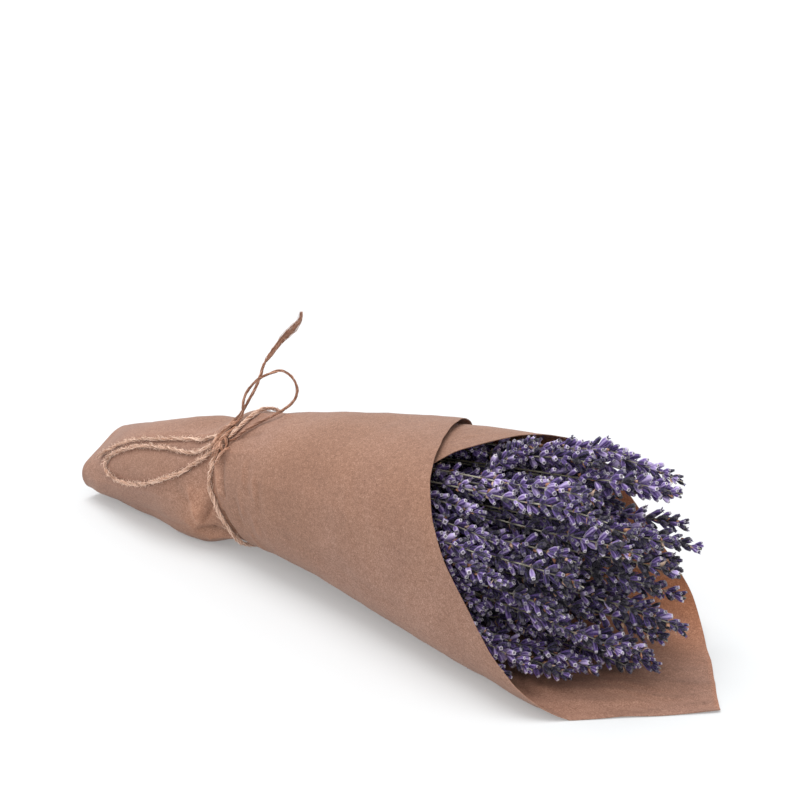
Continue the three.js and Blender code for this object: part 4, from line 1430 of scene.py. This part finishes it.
# Whorls along a spike: distance from the foot as a share of the length, calyces, their lean in
# degrees and their size. Those before the foot stand apart, lower on the stem, and
# each of them is there as often as the last value says.
WHORLS = [
    [-1.36, 5, 34, 0.98, 0.5],
    [-1.14, 5, 34, 0.98, 0.55],
    [-0.92, 5, 34, 1.0, 0.6],
    [-0.72, 5, 34, 1.02, 0.7],
    [-0.52, 5, 35, 1.04, 0.8],
    [-0.34, 5, 36, 1.06, 0.9],
    [-0.17, 6, 37, 1.08, 0.95],
    [0.0, 6, 38, 1.1, 1],
    [0.16, 6, 39, 1.15, 1],
    [0.31, 6, 39, 1.15, 1],
    [0.46, 6, 38, 1.12, 1],
    [0.6, 6, 35, 1.06, 1],
    [0.73, 6, 31, 0.98, 1],
    [0.84, 6, 24, 0.86, 1],
]
WHORL_SPREAD = 3.1
# Whorls before BEHIND_FOOT sit on the stem. Every whorl is off its place by up to WHORL_SHIFT of
# the length and turned by up to WHORL_JITTER.
BEHIND_FOOT = -0.05
WHORL_SHIFT = 0.015
WHORL_JITTER = 0.25
# How far each calyx turns off its place, and the ranges of its lean and size as shares of the
# whorl's and of its foot's distance out from the stem and along it, in millimetres.
CALYX_JITTER = 0.3
CALYX_LEANS = (0.55, 1.3)
CALYX_SIZES = (0.84, 1.12)
CALYX_OUT = (0.4, 0.9)
CALYX_SLIDE = 0.9
# A calyx's size has a fixed share and one that goes with the spike's girth.
FIXED_SIZE = 0.72
SIZE_BY_GIRTH = 0.28
CALYX_TONE = (0.52, 0.25)
SPIKE_TONE = 0.1
# The stalk inside a spike: points, how far along it goes, its radii and tones.
STALK_POINTS = 9
STALK_END = 0.95
STALK_RADII = (0.45, 0.3)
STALK_TONES = (0.0, 0.6)
COROLLA_SHARE = 0.14
# How much paler a calyx is on the bunch's outside, and for each spike's length towards the stem,
# with the place at which each of them is 0 and how far outside still counts.
OUTSIDE_PALER = 0.3
OUTSIDE_PALER_FROM = 0.9
OUTERMOST = 1.1
AGED = 0.16
AGED_FROM = 0.25
BRACT_SHARE = 0.7
BRACT_JITTER = 0.4
BRACT_LEANS = (25, 60)
BRACT_OUT = 0.5
BRACT_BELOW = (0.8, 1.8)
# How far back along a stem its way is taken, in millimetres.
WAY_BACK = 2


def calyx_form(random):
    """One ribbed calyx along +Z, with an open toothed mouth: points, faces and colour values."""
    bend = random.uniform(-CALYX_BEND, CALYX_BEND)
    flare = random.uniform(*CALYX_FLARES)
    waist = random.uniform(*CALYX_WAISTS)
    points, along = [], []
    sides = np.arange(CALYX_SIDES)
    angle = 2 * np.pi * sides / CALYX_SIDES
    for r, (height, radius, value) in enumerate(CALYX_RINGS):
        rib = 1 + CALYX_RIB * np.cos(np.pi * sides) * (0 < r <= CALYX_RIBBED)
        size = radius * rib * (flare if height > FLARE_FROM else waist)
        z = height * CALYX_LENGTH + CALYX_TOOTH * (sides % 2 == 0) * (r == CALYX_RIBBED)
        points.append(np.stack([size * np.cos(angle) + bend * height ** 2, size * np.sin(angle), z], 1))
        along += [value] * CALYX_SIDES
    return np.concatenate(points), closed_rings(len(CALYX_RINGS), CALYX_SIDES), np.array(along)


def corolla_form(random):
    """A crumpled dried corolla that stands out of a calyx's mouth, along +Z from 0."""
    points, faces = [[0.0, 0.0, COROLLA_FOOT]], []
    for k in range(PETALS):
        angle = 2 * math.pi * (k + random.uniform(-PETAL_JITTER, PETAL_JITTER)) / PETALS
        reach = random.uniform(*PETAL_REACH)
        rise = random.uniform(*PETAL_RISE)
        for turn, out, up in PETAL_POINTS:
            points.append([
                reach * out * math.cos(angle + turn),
                reach * out * math.sin(angle + turn),
                rise * up,
            ])
        a = 1 + len(PETAL_POINTS) * k
        faces += [[0, a, a + 3], [0, a + 3, a + 1], [0, a + 1, a + 2, a],
                  [a, a + 2, a + 3], [a + 2, a + 1, a + 3]]
    return np.array(points), faces


def bract_form(random):
    """A small papery leaf below a whorl, along +Z from its foot."""
    length, width = random.uniform(*BRACT_LENGTHS), random.uniform(*BRACT_WIDTHS)
    points = [
        [0, 0, 0],
        [width, 0.1, 0.35 * length],
        [0, 0.45, 0.45 * length],
        [-width, 0.1, 0.35 * length],
        [0.2, 0.75, length],
        [0, 0.05, 0.42 * length],
    ]
    faces = [[0, 2, 1], [0, 3, 2], [1, 2, 4], [2, 3, 4], [0, 1, 5], [0, 5, 3], [1, 4, 5], [3, 5, 4]]
    return np.array(points), faces


def towards(direction, roll):
    """A turn that takes +Z to a direction, after a roll about it."""
    turn = Vector(direction).to_track_quat("Z", "Y").to_matrix()
    return np.array(turn @ Matrix.Rotation(roll, 3, "Z"))


def stem_place(stem, distance):
    """The point of a stem that lies a distance behind the spike's foot, and the way of the stem."""
    steps = np.linalg.norm(np.diff(stem[::-1], axis=0), axis=1)
    behind = np.concatenate([[0], np.cumsum(steps)])
    point = [np.interp(distance, behind, stem[::-1, axis]) for axis in range(3)]
    before = [np.interp(distance + WAY_BACK, behind, stem[::-1, axis]) for axis in range(3)]
    return np.array(point), unit(np.array(point) - np.array(before))


def leaning(axes, turn, tilt):
    """The way out from a stem at a turn round it, and the way that leans so far out from it."""
    way, side, rise = axes
    out = math.cos(turn) * side + math.sin(turn) * rise
    return out, way * math.cos(tilt) + out * math.sin(tilt)


def add_calyx(form, centre, axes, turn, whorl, random, forms):
    """One calyx of a whorl, now and then with a corolla in its mouth. whorl gives its share along
    the spike, lean, size, room and the spike's tone."""
    calyces, corollas, _ = forms
    share, lean, size, room, spike_tone = whorl
    tilt = math.radians(lean * random.uniform(*CALYX_LEANS))
    out, direction = leaning(axes, turn, tilt)
    scale = size * random.uniform(*CALYX_SIZES) * (FIXED_SIZE + SIZE_BY_GIRTH * room)
    frame_turn = towards(direction, random.uniform(0, 2 * math.pi))
    foot = centre + out * random.uniform(*CALYX_OUT) + axes[0] * random.uniform(-CALYX_SLIDE, CALYX_SLIDE)
    shape, faces, along = calyces[random.integers(len(calyces))]
    middle_y, middle_z, wide, tall, _, _ = room_at(foot[0])
    outside = math.hypot((foot[1] - middle_y) / wide, (foot[2] - middle_z) / tall)
    paler = OUTSIDE_PALER * (min(outside, OUTERMOST) - OUTSIDE_PALER_FROM) + AGED * (AGED_FROM - share)
    # Painted highlights on the ribs and painted shade in the grooves.
    tone = random.normal(*CALYX_TONE) + spike_tone + paler + RIB_PAINTED_LIGHT * RIB_HIGHLIGHT_PATTERN
    form.add(foot + scale * shape @ frame_turn.T, faces, kind=0, along=along, tone=np.clip(tone, 0, 1))
    if random.uniform() < COROLLA_SHARE:
        shape, faces = corollas[random.integers(len(corollas))]
        mouth = foot + direction * CALYX_LENGTH * scale
        form.add(mouth + scale * shape @ frame_turn.T, faces, kind=3, tone=random.uniform(0, 1))


def add_bracts(form, centre, axes, whorl_turn, random, bracts):
    """Up to two bracts below a whorl, on opposite sides."""
    for half in range(2):
        if random.uniform() > BRACT_SHARE:
            continue
        turn = whorl_turn + half * math.pi + random.uniform(-BRACT_JITTER, BRACT_JITTER)
        tilt = math.radians(random.uniform(*BRACT_LEANS))
        out, direction = leaning(axes, turn, tilt)
        shape, faces = bracts[random.integers(len(bracts))]
        frame_turn = towards(direction, random.uniform(0, 2 * math.pi))
        foot = centre + out * BRACT_OUT - axes[0] * random.uniform(*BRACT_BELOW)
        form.add(foot + shape @ frame_turn.T, faces, kind=2, tone=random.uniform(0, 1))


def add_spike(form, stem, base, tip, side_way, random, forms):
    """A spike's stalk and its whorls, each of calyces in two opposite groups, with bracts below."""
    length = np.linalg.norm(tip - base)
    stalk = spike_axis(base, tip, np.linspace(0, STALK_END, STALK_POINTS))
    points, faces = tube(stalk, np.linspace(*STALK_RADII, STALK_POINTS), STEM_SIDES)
    form.add(points, faces, kind=1, tone=random.uniform(*STALK_TONES))
    start_turn = random.uniform(0, math.pi)
    spike_tone = random.uniform(-SPIKE_TONE, SPIKE_TONE)
    for w, (share, count, lean, size, chance) in enumerate(WHORLS):
        if random.uniform() > chance:
            continue
        share = share + random.uniform(-WHORL_SHIFT, WHORL_SHIFT)
        room = 1.0
        if share < BEHIND_FOOT:
            centre, way = stem_place(stem, -share * length)
        else:
            centre, way = spike_axis(base, tip, [share])[0], unit(tip - base)
            room = between(SPIKE_SHAPE, share + CALYX_LENGTH * 0.5 / length)[0]
        side = unit(side_way - np.dot(side_way, way) * way)
        axes = way, side, np.cross(way, side)
        whorl_turn = start_turn + w * math.pi / 2 + random.uniform(-WHORL_JITTER, WHORL_JITTER)
        whorl = share, lean, size, room, spike_tone
        for c in range(count):
            place = (c // 2) - (count / 2 - 1) / 2
            turn = whorl_turn + c % 2 * math.pi + place * WHORL_SPREAD / (count / 2)
            turn += random.uniform(-CALYX_JITTER, CALYX_JITTER)
            add_calyx(form, centre, axes, turn, whorl, random, forms)
        add_bracts(form, centre, axes, whorl_turn, random, forms[2])


def make_sprays(sprays, stems, looks):
    random = np.random.default_rng(SPRAY_SEED)
    forms = (
        [calyx_form(random) for _ in range(FORMS)],
        [corolla_form(random) for _ in range(FORMS)],
        [bract_form(random) for _ in range(FORMS)],
    )
    for i, spray in enumerate(sprays):
        form = Form()
        for hand in (-1, 1):
            _, base, tip = spray.strand(hand)
            add_spike(form, stems[i, hand], base, tip, spray.side, random, forms)
        number_name = "%02d" % (i + 1)
        form.piece("lavender_spray_" + number_name, looks, ["flower_spray_" + number_name],
                   "dried_flowers")


make_camera()
make_twine()
make_paper()
sprays = settled_sprays()
stem_material = stem_look()
stems = make_stems(sprays, stem_material)
make_sprays(sprays, stems, [calyx_look(), stem_material, bract_look(), corolla_look()])
make_surroundings()
